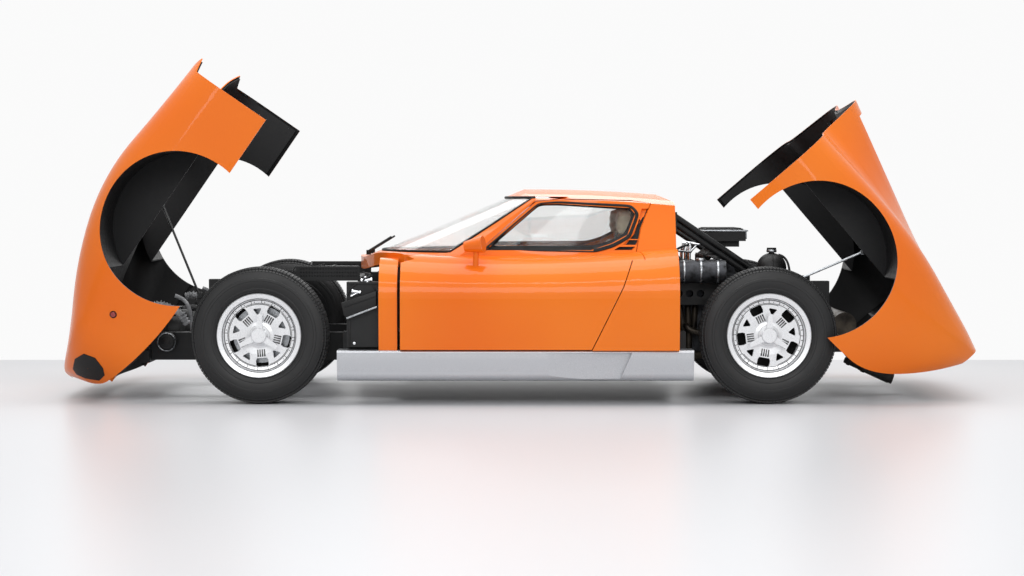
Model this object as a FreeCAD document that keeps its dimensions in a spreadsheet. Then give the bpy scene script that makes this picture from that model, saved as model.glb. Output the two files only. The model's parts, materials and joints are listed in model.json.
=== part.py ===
import FreeCAD, Part

import math
import os

import Sketcher
from FreeCAD import Placement, Rotation, Vector

# Mid-engined two-seat coupe with a front and a rear clamshell, both stored open.
# Millimetres. +X points to the tail, +Y to the car's right side, +Z up.
# The floor is Z = 0 and the origin is the bottom centre of the car as it stands.
# Body stations are measured from the front axle; front_axle places that axle.

doc = FreeCAD.newDocument("coupe")

# ---------------------------------------------------------------- sizes

SIZES = [
    # name, value, meaning
    ("front_axle", -1263, "X of the front axle"),
    ("wheelbase", 2500, "front axle to rear axle"),
    ("half_track", 706, "centreline to a tyre's middle plane"),
    ("tyre_radius", 337, "outside radius of a tyre"),
    ("tyre_width", 205, "width of a tyre over its walls"),
    ("bead_radius", 192, "radius of the bead seat"),
    ("tread_groove", 8, "depth of the long tread grooves"),
    ("flange_radius", 208, "outside radius of the rim's flange"),
    ("rim_wall", 8, "wall of the rim's barrel"),
    ("rim_width", 176, "width over the rim's flanges"),
    ("disc_depth", 44, "wheel disc's face, in from the outer flange"),
    ("disc_wall", 16, "thickness of the wheel's disc"),
    ("hub_radius", 50, "radius of the wheel's hub"),
    ("spinner_reach", 106, "reach of the spinner's ears"),
    ("stub_radius", 26, "radius of a stub axle"),
    ("kingpin", 66, "wheel's middle plane to the kingpin"),
    ("upright_half", 114.7, "half the height of an upright"),
    ("running_gap", 0.4, "clearance of a running fit"),
    ("shut_gap", 5, "gap between two panels that part"),
    ("skin", 5, "thickness of a clamshell's skin"),
    ("liner", 9, "thickness of a clamshell's inner liner"),
    ("wall", 62, "thickness of a door or of the cabin's lower wall"),
    ("pillar", 30, "thickness of the cabin's roof and pillars"),
    ("glass", 5, "thickness of a pane"),
    ("arch_front", 378, "radius of a front wheel arch"),
    ("arch_rear", 384, "radius of a rear wheel arch"),
    ("well_front", 446, "centreline to a front wheel well's inner wall"),
    ("well_rear", 545, "centreline to a rear wheel well's inner wall"),
    ("hinge_front_x", -696, "front clamshell's hinge, from the front axle"),
    ("hinge_front_z", 224, "front clamshell's hinge above the floor"),
    ("hinge_rear_x", 3021, "rear clamshell's hinge, from the front axle"),
    ("hinge_rear_z", 275, "rear clamshell's hinge above the floor"),
    ("open_front", 55.5, "front clamshell's opening, degrees"),
    ("open_rear", 49.5, "rear clamshell's opening, degrees"),
    ("hinge_pin", 11, "radius of a clamshell's hinge pin"),
    ("sill_top", 268, "top of the sills, where the doors end"),
    ("sill_bottom", 117, "underside of the sills"),
    ("sill_front", 386, "front end of the sills"),
    ("sill_rear", 2128, "rear end of the sills"),
    ("sill_out", 846, "centreline to the outside of a sill"),
    ("sill_in", 706.3, "centreline to the inside of a sill"),
    ("door_front", 690, "front edge of a door"),
    ("cabin_rear", 2056, "rear face of the cabin"),
    ("floor_bottom", 128, "underside of the floor pan"),
    ("floor_wall", 14, "thickness of the floor pan"),
    ("rail_out", 398, "centreline to the outside of a frame rail"),
    ("rail_width", 70, "width of a frame rail"),
    ("brace_radius", 16, "radius of a brace tube"),
    ("brace_y", 440, "centreline to the brace tubes' upper ends"),
    ("window_half", 405, "half the width of the bulkhead's window"),
    ("stay_radius", 6, "radius of a stay rod"),
]

sheet = doc.addObject("Spreadsheet::Sheet", "Sizes")
for row, (alias, value, meaning) in enumerate(SIZES, start=1):
    sheet.set("A%d" % row, meaning)
    sheet.set("B%d" % row, str(value))
    sheet.setAlias("B%d" % row, alias)
doc.recompute()


class Size:
    """A length that knows both its value and the sheet expression behind it."""

    def __init__(self, value, text):
        self.value = float(value)
        self.text = text

    def __float__(self):
        return self.value

    def __add__(self, other):
        other = as_size(other)
        return Size(self.value + other.value, "(%s + %s)" % (self.text, other.text))

    def __sub__(self, other):
        other = as_size(other)
        return Size(self.value - other.value, "(%s - %s)" % (self.text, other.text))

    def __mul__(self, other):
        other = as_size(other)
        return Size(self.value * other.value, "(%s * %s)" % (self.text, other.text))

    def __truediv__(self, other):
        other = as_size(other)
        return Size(self.value / other.value, "(%s / %s)" % (self.text, other.text))

    def __radd__(self, other):
        return as_size(other) + self

    def __rsub__(self, other):
        return as_size(other) - self

    def __rmul__(self, other):
        return as_size(other) * self

    def __neg__(self):
        return as_size(0) - self


def as_size(value):
    if isinstance(value, Size):
        return value
    return Size(value, "%g" % value)


class Sizes:
    """Each row of the sheet as a Size."""


size = Sizes()
for alias, value, meaning in SIZES:
    setattr(size, alias, Size(sheet.get(alias), "Sizes." + alias))


def mm(value):
    return float(value)


def bind(thing, prop, value):
    """Tie a property to the sheet."""
    thing.setExpression(prop, as_size(value).text)


FRONT = size.front_axle
REAR = size.front_axle + size.wheelbase
SIDES = (("left", -1), ("right", 1))
X, Y, Z = Vector(1, 0, 0), Vector(0, 1, 0), Vector(0, 0, 1)

# ---------------------------------------------------------------- builders

helpers = 0


def helper_name(kind):
    global helpers
    helpers += 1
    return "%s_%03d" % (kind, helpers)


def place(thing, x, y, z, turn=None):
    """Placement with its base tied to the sheet."""
    if turn is not None:
        thing.Placement = Placement(Vector(0, 0, 0), turn)
    bind(thing, "Placement.Base.x", x)
    bind(thing, "Placement.Base.y", y)
    bind(thing, "Placement.Base.z", z)
    return thing


def box(low, high, turn=None):
    """Part::Box between two corners."""
    thing = doc.addObject("Part::Box", helper_name("box"))
    for prop, a, b in zip(("Length", "Width", "Height"), low, high):
        bind(thing, prop, as_size(b) - a)
    return place(thing, low[0], low[1], low[2], turn)


def cylinder(start, radius, length, axis):
    """Part::Cylinder from start along axis."""
    thing = doc.addObject("Part::Cylinder", helper_name("cylinder"))
    bind(thing, "Radius", radius)
    bind(thing, "Height", length)
    return place(thing, start[0], start[1], start[2], Rotation(Z, axis))


def rod(start, end, radius):
    """Part::Cylinder between two points."""
    a = Vector(*[mm(v) for v in start])
    b = Vector(*[mm(v) for v in end])
    return cylinder(start, radius, (b - a).Length, b - a)


def fuse(label, things):
    thing = doc.addObject("Part::MultiFuse", label)
    thing.Shapes = things
    thing.Refine = False
    return thing


def cut(label, base, tools):
    if len(tools) > 1:
        tool = fuse(helper_name("tools"), tools)
    else:
        tool = tools[0]
    thing = doc.addObject("Part::Cut", label)
    thing.Base = base
    thing.Tool = tool
    return thing


def formed(label, shape, placement=None):
    """A Part::Feature for a form that has no native feature."""
    thing = doc.addObject("Part::Feature", label)
    thing.Shape = shape
    if placement is not None:
        thing.Placement = placement.multiply(shape.Placement)
    return thing


def origin_plane(body, role):
    for feature in body.Origin.OriginFeatures:
        if feature.Role == role:
            return feature
    raise ValueError(role)


def profile(body, points, plane="XY_Plane"):
    """A closed sketch of straight lines, each corner tied to the sheet."""
    sketch = body.newObject("Sketcher::SketchObject", helper_name("sketch"))
    sketch.AttachmentSupport = [(origin_plane(body, plane), "")]
    sketch.MapMode = "FlatFace"
    corners = [Vector(mm(u), mm(v), 0) for u, v in points]
    count = len(corners)
    for index in range(count):
        line = Part.LineSegment(corners[index], corners[(index + 1) % count])
        sketch.addGeometry(line, False)
    for index in range(count):
        nearby = (index + 1) % count
        sketch.addConstraint(Sketcher.Constraint("Coincident", index, 2, nearby, 1))
    for index, (u, v) in enumerate(points):
        for kind, value in (("DistanceX", u), ("DistanceY", v)):
            constraint = Sketcher.Constraint(kind, -1, 1, index, 1, mm(value))
            number = sketch.addConstraint(constraint)
            bind(sketch, "Constraints[%d]" % number, value)
    return sketch


def turned(label, points, x, y, z, turn=None):
    """PartDesign body revolved about its own Y axis, with points as (radius, across)."""
    body = doc.addObject("PartDesign::Body", label)
    sketch = profile(body, points)
    feature = body.newObject("PartDesign::Revolution", helper_name("revolution"))
    feature.Profile = sketch
    feature.ReferenceAxis = (sketch, ["V_Axis"])
    feature.Angle = 360
    place(body, x, y, z, turn)
    return body


# ---------------------------------------------------------------- body sections

def point(x, y, z):
    return Vector(mm(FRONT) + mm(x), mm(y), mm(z))


def arc_centre(start, tangent, end):
    """Centre of the circle that leaves start along tangent and reaches end, or None if straight."""
    chord = end - start
    normal = Vector(0, -tangent.z, tangent.y)
    lean = 2 * chord.dot(normal)
    if abs(lean) < 1e-6 * chord.Length ** 2:
        return None
    return start + normal * (chord.Length ** 2 / lean)


def biarc(start, leave, end, arrive):
    """Two tangent arcs from start to end as (start, tangent, end) pieces."""
    chord = end - start
    total = leave + arrive
    a = 2 * (1 - leave.dot(arrive))
    b = 2 * chord.dot(total)
    c = -chord.dot(chord)
    if abs(a) < 1e-9:
        reach = -c / b
    else:
        reach = (-b + math.sqrt(b * b - 4 * a * c)) / (2 * a)
    joint = (start + leave * reach + end - arrive * reach) * 0.5
    direction = (end - arrive * reach) - (start + leave * reach)
    return [(start, leave, joint), (joint, direction.normalize(), end)]


def half_pieces(row):
    """Tangent arcs of the right half of a section, from the centre to the lower edge."""
    x, top_z, (valley_y, valley_z), lean, (crown_y, crown_z), (waist_y, waist_z), (low_y, low_z) = row
    centre = point(x, 0, top_z)
    valley = point(x, valley_y, valley_z)
    crown = point(x, crown_y, crown_z)
    waist = point(x, waist_y, waist_z)
    low = point(x, low_y, low_z)
    slope = Vector(0, math.cos(math.radians(lean)), math.sin(math.radians(lean)))
    across, down = Vector(0, 1, 0), Vector(0, 0, -1)
    pieces = biarc(centre, across, valley, slope)
    pieces += biarc(valley, slope, crown, across)
    pieces += biarc(crown, across, waist, down)
    pieces.append((waist, down, low))
    return pieces


def moved(piece, inward):
    """Ends and middle of an arc piece, moved inwards along its own normals."""
    start, tangent, end = piece
    centre = arc_centre(start, tangent, end)
    left = Vector(0, -tangent.z, tangent.y)
    if centre is None:
        shift = left * -inward
        return start + shift, (start + end) * 0.5 + shift, end + shift
    radius = (start - centre).Length
    outward = 1 if (start - centre).dot(left) > 0 else -1
    middle = (start + end) * 0.5 - centre
    travel = (end - start).dot(tangent)
    if middle.Length < 1e-6:
        middle = tangent * 1.0
    middle = middle.normalize() * radius
    if travel < 0:
        middle = middle * -1
    grown = (radius - outward * inward) / radius
    return tuple(centre + ray * grown for ray in (start - centre, middle, end - centre))


def path(row, inward):
    """Arcs (start, middle, end) of the whole section from the left lower edge to the right."""
    right = [moved(piece, inward) for piece in half_pieces(row)]
    flip = [tuple(Vector(v.x, -v.y, v.z) for v in reversed(piece)) for piece in reversed(right)]
    return flip + right


def arc_edge(start, middle, end):
    """Edge through three points, straight where they are in line."""
    if middle.distanceToLine(start, end - start) < 0.001:
        return Part.LineSegment(start, end).toShape()
    return Part.Arc(start, middle, end).toShape()


def band(row, outer, inner):
    """Closed wire of a wall across the car between two depths below the surface."""
    edges = []
    outside, inside = path(row, outer), path(row, inner)
    for start, middle, end in outside:
        edges.append(arc_edge(start, middle, end))
    edges.append(Part.LineSegment(outside[-1][2], inside[-1][2]).toShape())
    for start, middle, end in reversed(inside):
        edges.append(arc_edge(end, middle, start))
    edges.append(Part.LineSegment(inside[0][0], outside[0][0]).toShape())
    return Part.Wire(edges)


SMOOTH = 2  # highest degree of a loft along the car


def wall_loft(rows, outer, inner):
    """Thin wall through all sections, between two depths below the surface."""
    return Part.makeLoft([band(row, outer, inner) for row in rows], True, False, False, SMOOTH)


def solid_loft(rows, inward):
    """The space within the sections, a depth below the surface."""
    return Part.makeLoft([filled(row, inward) for row in rows], True, False, False, SMOOTH)


def filled(row, inward):
    """Closed wire of the whole section with a flat underside."""
    edges = [arc_edge(*piece) for piece in path(row, inward)]
    ends = path(row, inward)
    edges.append(Part.LineSegment(ends[-1][2], ends[0][0]).toShape())
    return Part.Wire(edges)


# Half sections, front to rear. Columns: station, height at the centreline, valley (y, z),
# slope of the surface at the valley in degrees, crown (y, z), widest point (y, z),
# lower edge (y, z).
FRONT_SECTIONS = [
    (-985, 447, (120, 447), 0, (262, 444), (300, 422), (298, 408)),
    (-930, 466, (200, 466), 0, (440, 460), (520, 402), (510, 340)),
    (-870, 482, (260, 482), 0, (500, 476), (632, 375), (616, 236)),
    (-760, 508, (300, 508), 3, (520, 518), (740, 380), (722, 184)),
    (-500, 563, (330, 576), 14, (620, 636), (812, 430), (798, 124)),
    (-100, 645, (350, 664), 26, (655, 768), (858, 500), (846, 118)),
    (300, 697, (380, 712), 22, (665, 770), (868, 520), (850, 118)),
    (800, 738, (430, 736), -1, (640, 732), (867, 520), (844, 118)),
]
MIDDLE_SECTIONS = [
    (300, 697, (380, 712), 22, (665, 770), (868, 520), (850, 118)),
    (800, 738, (430, 736), -1, (640, 732), (867, 520), (844, 118)),
    (1400, 735, (430, 732), -1, (640, 726), (869, 520), (844, 118)),
    (2160, 762, (430, 764), 1, (660, 768), (879, 524), (846, 118)),
]
REAR_SECTIONS = [
    (1980, 1018, (452, 1008), -52, (690, 770), (877, 524), (845, 118)),
    (2150, 972, (460, 962), -48, (690, 772), (878, 524), (846, 118)),
    (2500, 876, (480, 868), -30, (700, 778), (880, 520), (848, 118)),
    (2850, 796, (495, 788), -10, (690, 760), (874, 500), (842, 128)),
    (3050, 757, (488, 749), -6, (660, 728), (852, 500), (806, 165)),
    (3250, 718, (460, 710), -5, (620, 694), (786, 530), (738, 350)),
    (3380, 690, (400, 684), -3, (540, 672), (668, 606), (650, 564)),
]


def slab(x_low, x_high, y_low, y_high, z_low, z_high):
    """Plain block in body stations."""
    low = point(x_low, y_low, z_low)
    high = point(x_high, y_high, z_high)
    span = high - low
    return Part.makeBox(span.x, span.y, span.z, low)


def side_prism(outline, y_low, y_high):
    """Outline (station, z) pushed across the car."""
    nodes = [point(x, y_low, z) for x, z in outline]
    wire = Part.makePolygon(nodes + nodes[:1])
    return Part.Face(wire).extrude(Vector(0, mm(y_high) - mm(y_low), 0))


def drum(x, z, radius, y_low, y_high):
    """Cylinder across the car."""
    return Part.makeCylinder(mm(radius), mm(y_high) - mm(y_low), point(x, y_low, z), Y)


def plan_prism(outline, z_low, z_high):
    """Wire of edges at z = 0 pushed up."""
    face = Part.Face(outline)
    face.translate(Vector(0, 0, mm(z_low)))
    return face.extrude(Vector(0, 0, mm(z_high) - mm(z_low)))


def mirrored(shape):
    return shape.mirror(Vector(0, 0, 0), Y)


# Rear edge of the front clamshell in plan: a bow round the windscreen's foot.
BOW_MIDDLE = 440
BOW_TIP = (752, 742)


def bow(offset, x_far):
    """Plan area behind the bow, moved back by offset."""
    tip_x, tip_y = BOW_TIP
    side = mm(size.door_front) - mm(size.shut_gap) + offset
    nodes = [point(side, -1000, 0), point(side, -(tip_y + 34), 0), point(tip_x + offset, -tip_y, 0),
             point(tip_x + offset, tip_y, 0), point(side, tip_y + 34, 0), point(side, 1000, 0),
             point(x_far, 1000, 0), point(x_far, -1000, 0)]
    arc = Part.Arc(nodes[2], point(BOW_MIDDLE + offset, 0, 0), nodes[3]).toShape()
    edges = [Part.LineSegment(nodes[0], nodes[1]).toShape(), Part.LineSegment(nodes[1], nodes[2]).toShape(),
             arc]
    for a, b in ((3, 4), (4, 5), (5, 6), (6, 7), (7, 0)):
        edges.append(Part.LineSegment(nodes[a], nodes[b]).toShape())
    return Part.Wire(edges)


def clean(shape):
    """The largest solid of a boolean's result, or all of them in a compound."""
    solids = [s for s in shape.Solids if s.Volume > 50.0]
    if len(solids) == 1:
        return solids[0]
    return Part.makeCompound(solids)


OPEN_FRONT = Placement(Vector(0, 0, 0), Rotation(Y, -mm(size.open_front)),
                       point(size.hinge_front_x, 0, size.hinge_front_z))
OPEN_REAR = Placement(Vector(0, 0, 0), Rotation(Y, mm(size.open_rear)),
                      point(size.hinge_rear_x, 0, size.hinge_rear_z))


def front_part(label, shape):
    return formed(label, shape, OPEN_FRONT)


def rear_part(label, shape):
    return formed(label, shape, OPEN_REAR)


# ---------------------------------------------------------------- front clamshell

axle_z = size.tyre_radius
skin = mm(size.skin)
lining = mm(size.liner)
shut = mm(size.shut_gap)
sill_line = mm(size.sill_top) + 4
far = 1000

arches = drum(0, axle_z, size.arch_front, -far, far)
below = slab(0, 900, -far, far, 0, sill_line)
behind = plan_prism(bow(0, 1200), 0, 1500)

lamp_seats = []
LAMP = (-655, 462, 560)
LAMP_TURN = Rotation(Y, -24)
for name, side in SIDES:
    seat = Part.makeCylinder(108.3, 160, Vector(0, 0, -80))
    seat.Placement = Placement(point(LAMP[0], side * LAMP[1], LAMP[2]), LAMP_TURN)
    lamp_seats.append(seat)


def nose_ring(front_x, side_x, side_y, depth, z_low, z_high):
    """Upright strip bent round the nose in plan."""
    outer = (point(side_x, -side_y, z_low), point(front_x, 0, z_low), point(side_x, side_y, z_low))
    inner = (point(side_x + depth, side_y, z_low), point(front_x + depth, 0, z_low),
             point(side_x + depth, -side_y, z_low))
    wire = Part.Wire([Part.Arc(*outer).toShape(), Part.LineSegment(outer[2], inner[0]).toShape(),
                      Part.Arc(*inner).toShape(), Part.LineSegment(inner[2], outer[0]).toShape()])
    return Part.Face(wire).extrude(Vector(0, 0, z_high - z_low))


front_skin = wall_loft(FRONT_SECTIONS, 0, skin)
front_skin = front_skin.cut([behind, arches, below] + lamp_seats)
front_space = solid_loft(FRONT_SECTIONS, 1)
lip = nose_ring(-982, -860, 680, 14, 402, 480).common(front_space)
chin = nose_ring(-892, -740, 790, 10, 205, 262).common(front_space)
hinge_arms = []
for side in (-1, 1):
    y_low, y_high = sorted((side * 492, side * 508))
    eye = drum(size.hinge_front_x, size.hinge_front_z, 22, y_low, y_high)
    arm_z = mm(size.hinge_front_z)
    arm = slab(-852, mm(size.hinge_front_x), y_low, y_high, arm_z - 14, arm_z + 14)
    bore = drum(size.hinge_front_x, size.hinge_front_z, mm(size.hinge_pin) + 0.1, y_low, y_high)
    hinge_arms.append(eye.fuse(arm).cut(bore))
front_skin = front_skin.fuse([lip, chin] + hinge_arms)
front_part("front_clamshell", clean(front_skin))


def wells(radius, inner_wall, outer_edge, axle_x, low_z):
    """Wheel wells of both sides above low_z: an arched strip and an inner wall."""
    shells = []
    upper = slab(mm(axle_x) - 500, mm(axle_x) + 500, -far, far, low_z, 1200)
    for side in (-1, 1):
        y_far, y_wall = side * outer_edge, side * mm(inner_wall)
        strip = drum(axle_x, axle_z, mm(radius) + 8, min(y_far, y_wall), max(y_far, y_wall))
        y_hollow = y_wall + side * 6
        hollow = drum(axle_x, axle_z, radius, min(y_far, y_hollow), max(y_far, y_hollow))
        shells.append(strip.cut(hollow).common(upper))
    return shells


front_liner = wall_loft(FRONT_SECTIONS, skin + 0.3, skin + lining)
liner_edges = [
    arches,
    slab(-2000, 900, -far, far, 0, sill_line + 20),
    plan_prism(bow(-14, 1200), 0, 1500),
    slab(-1100, -826, -far, far, 0, 486),
    slab(-1100, -735, -far, far, 0, 405),
]
front_liner = front_liner.cut(liner_edges + lamp_seats)
front_wells = Part.makeCompound(wells(size.arch_front, size.well_front, 860, 0, 500))
front_wells = front_wells.common(solid_loft(FRONT_SECTIONS, skin + 1))
front_wells = front_wells.cut(slab(-1100, -500, -far, far, 0, 1200))
front_liner = front_liner.fuse(front_wells.Solids)
stay_boss = Part.makeCylinder(8, 12.5, point(23, -434, 514.5), -Y)
front_liner = front_liner.fuse(stay_boss)
front_part("front_liner", clean(front_liner))

for (name, side), seat in zip(SIDES, lamp_seats):
    bowl = Part.makeCylinder(108, 34, Vector(0, 0, -40))
    lens = Part.makeSphere(210, Vector(0, 0, -198)).common(Part.makeCylinder(96, 30, Vector(0, 0, -7)))
    lamp = bowl.fuse(lens)
    lamp.Placement = Placement(point(LAMP[0], side * LAMP[1], LAMP[2]), LAMP_TURN)
    front_part("headlamp_" + name, clean(lamp))

grille = nose_ring(-884, -748, 752, 6, 262.3, 396)
for step in range(1, 9):
    grille = grille.fuse(nose_ring(-892, -756, 752, 10, 256 + step * 15, 259 + step * 15))
grille = grille.common(solid_loft(FRONT_SECTIONS, skin + 0.4))
front_part("nose_grille", clean(grille))

# ---------------------------------------------------------------- cabin

middle_wall = wall_loft(MIDDLE_SECTIONS, 0, mm(size.wall))

# Greenhouse: columns are height, windscreen's middle station, corner station, corner y,
# rear corner y. The rear face stands at cabin_rear.
FOOT = (700, 456, 946, 659, 655)
HEAD = (1075, 1345, 1449, 517, 478)


def plan_ring(row, front_in, side_in, rear_in):
    z, middle_x, corner_x, corner_y, rear_y = row
    rear_x = mm(size.cabin_rear) - rear_in
    a = point(corner_x + front_in, -(corner_y - side_in), z)
    b = point(middle_x + front_in, 0, z)
    c = point(corner_x + front_in, corner_y - side_in, z)
    d = point(rear_x, rear_y - side_in, z)
    e = point(rear_x, -(rear_y - side_in), z)
    edges = [Part.Arc(a, b, c).toShape()]
    for start, end in ((c, d), (d, e), (e, a)):
        edges.append(Part.LineSegment(start, end).toShape())
    return Part.Wire(edges)


def greenhouse(front_in, side_in, rear_in):
    rings = [plan_ring(FOOT, front_in, side_in, rear_in), plan_ring(HEAD, front_in, side_in, rear_in)]
    return Part.makeLoft(rings, True, True)


def roof_barrel(drop):
    """Solid below the roof: the roof line turned about a low fore-and-aft axis."""
    axis_z = -1700
    a, b, c = point(400, 0, 1000 - drop), point(1480, 0, 1056 - drop), point(2400, 0, 985 - drop)
    low_a, low_c = point(400, 0, 300), point(2400, 0, 300)
    edges = [Part.Arc(a, b, c).toShape(), Part.LineSegment(c, low_c).toShape(),
             Part.LineSegment(low_c, low_a).toShape(), Part.LineSegment(low_a, a).toShape()]
    face = Part.Face(Part.Wire(edges))
    half = face.revolve(Vector(0, 0, axis_z), X, 22)
    other = face.revolve(Vector(0, 0, axis_z), X, -22)
    return half.fuse(other)


pillar = mm(size.pillar)
roof = roof_barrel(0)
ceiling = roof_barrel(pillar)
cabin_line = mm(size.sill_top) + 0.3
tail_slope = side_prism([(1990, 1026), (2070, 984), (2200, 984), (2200, 1200), (1990, 1200)], -far, far)
green_outer = greenhouse(0, 0, 0).common(roof).cut(tail_slope)
green_inner = greenhouse(pillar * 2, pillar, pillar).common(ceiling)
footprint = plan_prism(plan_ring(FOOT, pillar * 2, pillar, pillar), 560 - FOOT[0], 2)

cabin_span = slab(mm(size.door_front), size.cabin_rear, -far, far, cabin_line, 1200)
cowl_span = slab(400, mm(size.door_front) + 1, -735, 735, 640, 1200)
lower = middle_wall.common(cabin_span.fuse(cowl_span)).common(plan_prism(bow(2 * shut, 2400), 0, 1500))
lower = lower.cut(footprint)
jamb_front = mm(size.door_front) - 101
jamb_span = slab(jamb_front, mm(size.door_front) - 11, -far, far, cabin_line, 1200)
jambs = wall_loft(MIDDLE_SECTIONS, 28, 46).common(jamb_span)
jambs = jambs.cut(slab(0, 900, -560, 560, 0, 1200))
lower = lower.fuse(jambs)
body_whole = lower.fuse(green_outer).cut(green_inner)

REAR_EDGE = [(1629, 273), (1780, 577), (1885, 861), (1958, 985)]


def door_space(grow, corner):
    """Space of the left door: its outline seen from the side, grown by a gap.

    The upper frame's edges lean by the tangent of the door's swing, so it leaves its
    pillar without rubbing. corner is how far its front inner corner is taken off.
    """
    rear = [(x + grow, z) for x, z in REAR_EDGE]
    front = mm(size.door_front) - 10
    outline = [(front, 0), (rear[0][0] - 130, 0), rear[0], rear[1], (rear[1][0] + 60, 740), (front, 740)]
    panel = side_prism(outline, -far, -676 + grow)
    inner = -676 + grow
    nodes = [point(front, inner, 0), point(front, inner - corner, 0),
             point(front + 55, inner - corner, 0), point(front + 95, inner, 0)]
    wedge = Part.Face(Part.makePolygon(nodes + nodes[:1])).extrude(Vector(0, 0, 800))
    frame_outline = [(1012 - grow, 706), (1378 - grow, 992 + grow), (1500, 1004 + grow),
                     (1880, 996 + grow), rear[3], rear[2], (rear[1][0] + 48, 706)]
    lean = 0.34
    nodes = [point(x + lean * 400, -far, z) for x, z in frame_outline]
    frame = Part.Face(Part.makePolygon(nodes + nodes[:1])).extrude(Vector(-lean * 560, 560, 0))
    return panel.cut(wedge).fuse(frame)


WINDOW = [
    (1111, 752), (1375, 979), (1470, 982), (1830, 961), (1855, 931), (1814, 828), (1735, 786), (1631, 752),
]
window_space = side_prism(WINDOW, -far, -400)
door_hole = door_space(shut, 13)
door_lift = slab(0, 3000, -far, far, 0, sill_line)
left_door = clean(body_whole.common(door_space(0, 26)).cut([window_space, door_lift]))

# Gills behind the window: a pocket in the door's frame crossed by sloping slats.
GILL = [
    (1888, 958), (1928, 958), (1906, 884), (1852, 768), (1836, 752), (1742, 752), (1790, 778), (1838, 826),
    (1866, 884),
]
gill_depth = 15
gill_prism = side_prism(GILL, -far, -400)
gill_floor = greenhouse(0, gill_depth, 0)
left_door = left_door.cut(gill_prism.cut(gill_floor).common(slab(1700, 1960, -far, -400, 751, 959)))
slats = []
for step in range(7):
    z = 764 + step * 31
    slat = Part.makeBox(230, 26, 5, Vector(0, -8, 0))
    slat.Placement = Placement(point(1720, -656 + (z - 700) * 0.379, z), Rotation(X, 34))
    slats.append(slat)
gills = Part.makeCompound(slats).common(gill_prism).common(greenhouse(0, 1, 0))
left_door = clean(left_door.fuse(gills.Solids))
cabin_wall = body_whole.cut([door_hole, mirrored(door_hole)])

# The windscreen fills the front face between its pillars.


def screen_slab(front, back, margin, z_low, z_high):
    """Slab along the windscreen's face, front and back measured along the car."""
    wires = []
    for z in (z_low, z_high):
        part = (z - FOOT[0]) / (HEAD[0] - FOOT[0])
        middle_x, corner_x, corner_y = [a + (b - a) * part for a, b in zip(FOOT[1:4], HEAD[1:4])]
        side_y = corner_y - margin
        sag = corner_x - middle_x
        radius = (corner_y ** 2 + sag ** 2) / (2 * sag)
        side_x = middle_x + radius - math.sqrt(radius ** 2 - side_y ** 2)
        arcs = []
        for depth, turn in ((front, 1), (back, -1)):
            ends = [(side_x, -side_y), (middle_x, 0), (side_x, side_y)][::turn]
            arcs.append([point(x + depth, y, z) for x, y in ends])
        outer, inner = arcs
        wires.append(Part.Wire([Part.Arc(*outer).toShape(), Part.LineSegment(outer[2], inner[0]).toShape(),
                                Part.Arc(*inner).toShape(), Part.LineSegment(inner[2], outer[0]).toShape()]))
    return Part.makeLoft(wires, True, True)


screen_hole = screen_slab(-300, 200, 34, 738, 1018)
cabin_wall = cabin_wall.cut(screen_hole)
window_y = mm(size.window_half)
rear_window = slab(mm(size.cabin_rear) - 60, mm(size.cabin_rear) + 60, -window_y, window_y, 790, 950)
cabin_wall = cabin_wall.cut(rear_window)
formed("cabin_shell", clean(cabin_wall))
formed("windscreen", clean(screen_slab(8, 20, 34.4, 738.4, 1017.6)))
window_seat = mm(size.running_gap)
pane_x, pane_y = mm(size.cabin_rear) - 22, window_y - window_seat
bulkhead_pane = slab(pane_x, pane_x + mm(size.glass), -pane_y, pane_y, 790 + window_seat, 950 - window_seat)
formed("bulkhead_window", bulkhead_pane)

pane_outer = greenhouse(30, 12, 40)
pane_inner = greenhouse(30, 12 + mm(size.glass), 40)
pane = clean(pane_outer.cut(pane_inner).common(window_space).common(slab(0, 2000, -far, -200, 752.4, 981.6)))
mirror_cone = Part.makeCone(26, 42, 95, point(1010, -764, 772), Vector(1, -0.32, 0.14))
mirror_foot = Part.makeCylinder(14, 110, point(1060, -772, 655), Vector(0.05, -0.05, 1))
left_door = clean(left_door.fuse([mirror_cone, mirror_foot]))
formed("door_left", left_door)
formed("door_right", clean(mirrored(left_door)))
formed("door_glass_left", pane)
formed("door_glass_right", mirrored(pane))

# ---------------------------------------------------------------- rear clamshell

rear_arches = drum(size.wheelbase, axle_z, size.arch_rear, -far, far)
ahead = slab(1800, mm(size.cabin_rear) + shut, -far, far, 0, 1200)
rear_below = slab(1800, 2500, -far, far, 0, sill_line)
deck_hole = side_prism([(2130, 700), (2130, 1100), (3010, 1100), (3010, 700)], -420, 420)
rear_skin = wall_loft(REAR_SECTIONS, 0, skin)
rear_cap = Part.Face(filled(REAR_SECTIONS[-1], 0)).extrude(Vector(-skin, 0, 0))
rear_space = solid_loft(REAR_SECTIONS, 1)
valance = slab(3226, 3262, -800, 800, 326, 336).common(rear_space)
hinge_arms = []
for side in (-1, 1):
    y_low, y_high = sorted((side * 492, side * 508))
    eye = drum(size.hinge_rear_x, size.hinge_rear_z, 22, y_low, y_high)
    arm = side_prism([(3010, 262), (3010, 288), (3235, 336), (3250, 326)], y_low, y_high)
    bore = drum(size.hinge_rear_x, size.hinge_rear_z, mm(size.hinge_pin) + 0.1, y_low, y_high)
    hinge_arms.append(eye.fuse(arm).cut(bore))
rear_skin = rear_skin.cut([rear_arches, ahead, rear_below, deck_hole]).fuse([rear_cap, valance] + hinge_arms)
rear_part("rear_clamshell", clean(rear_skin))

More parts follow.
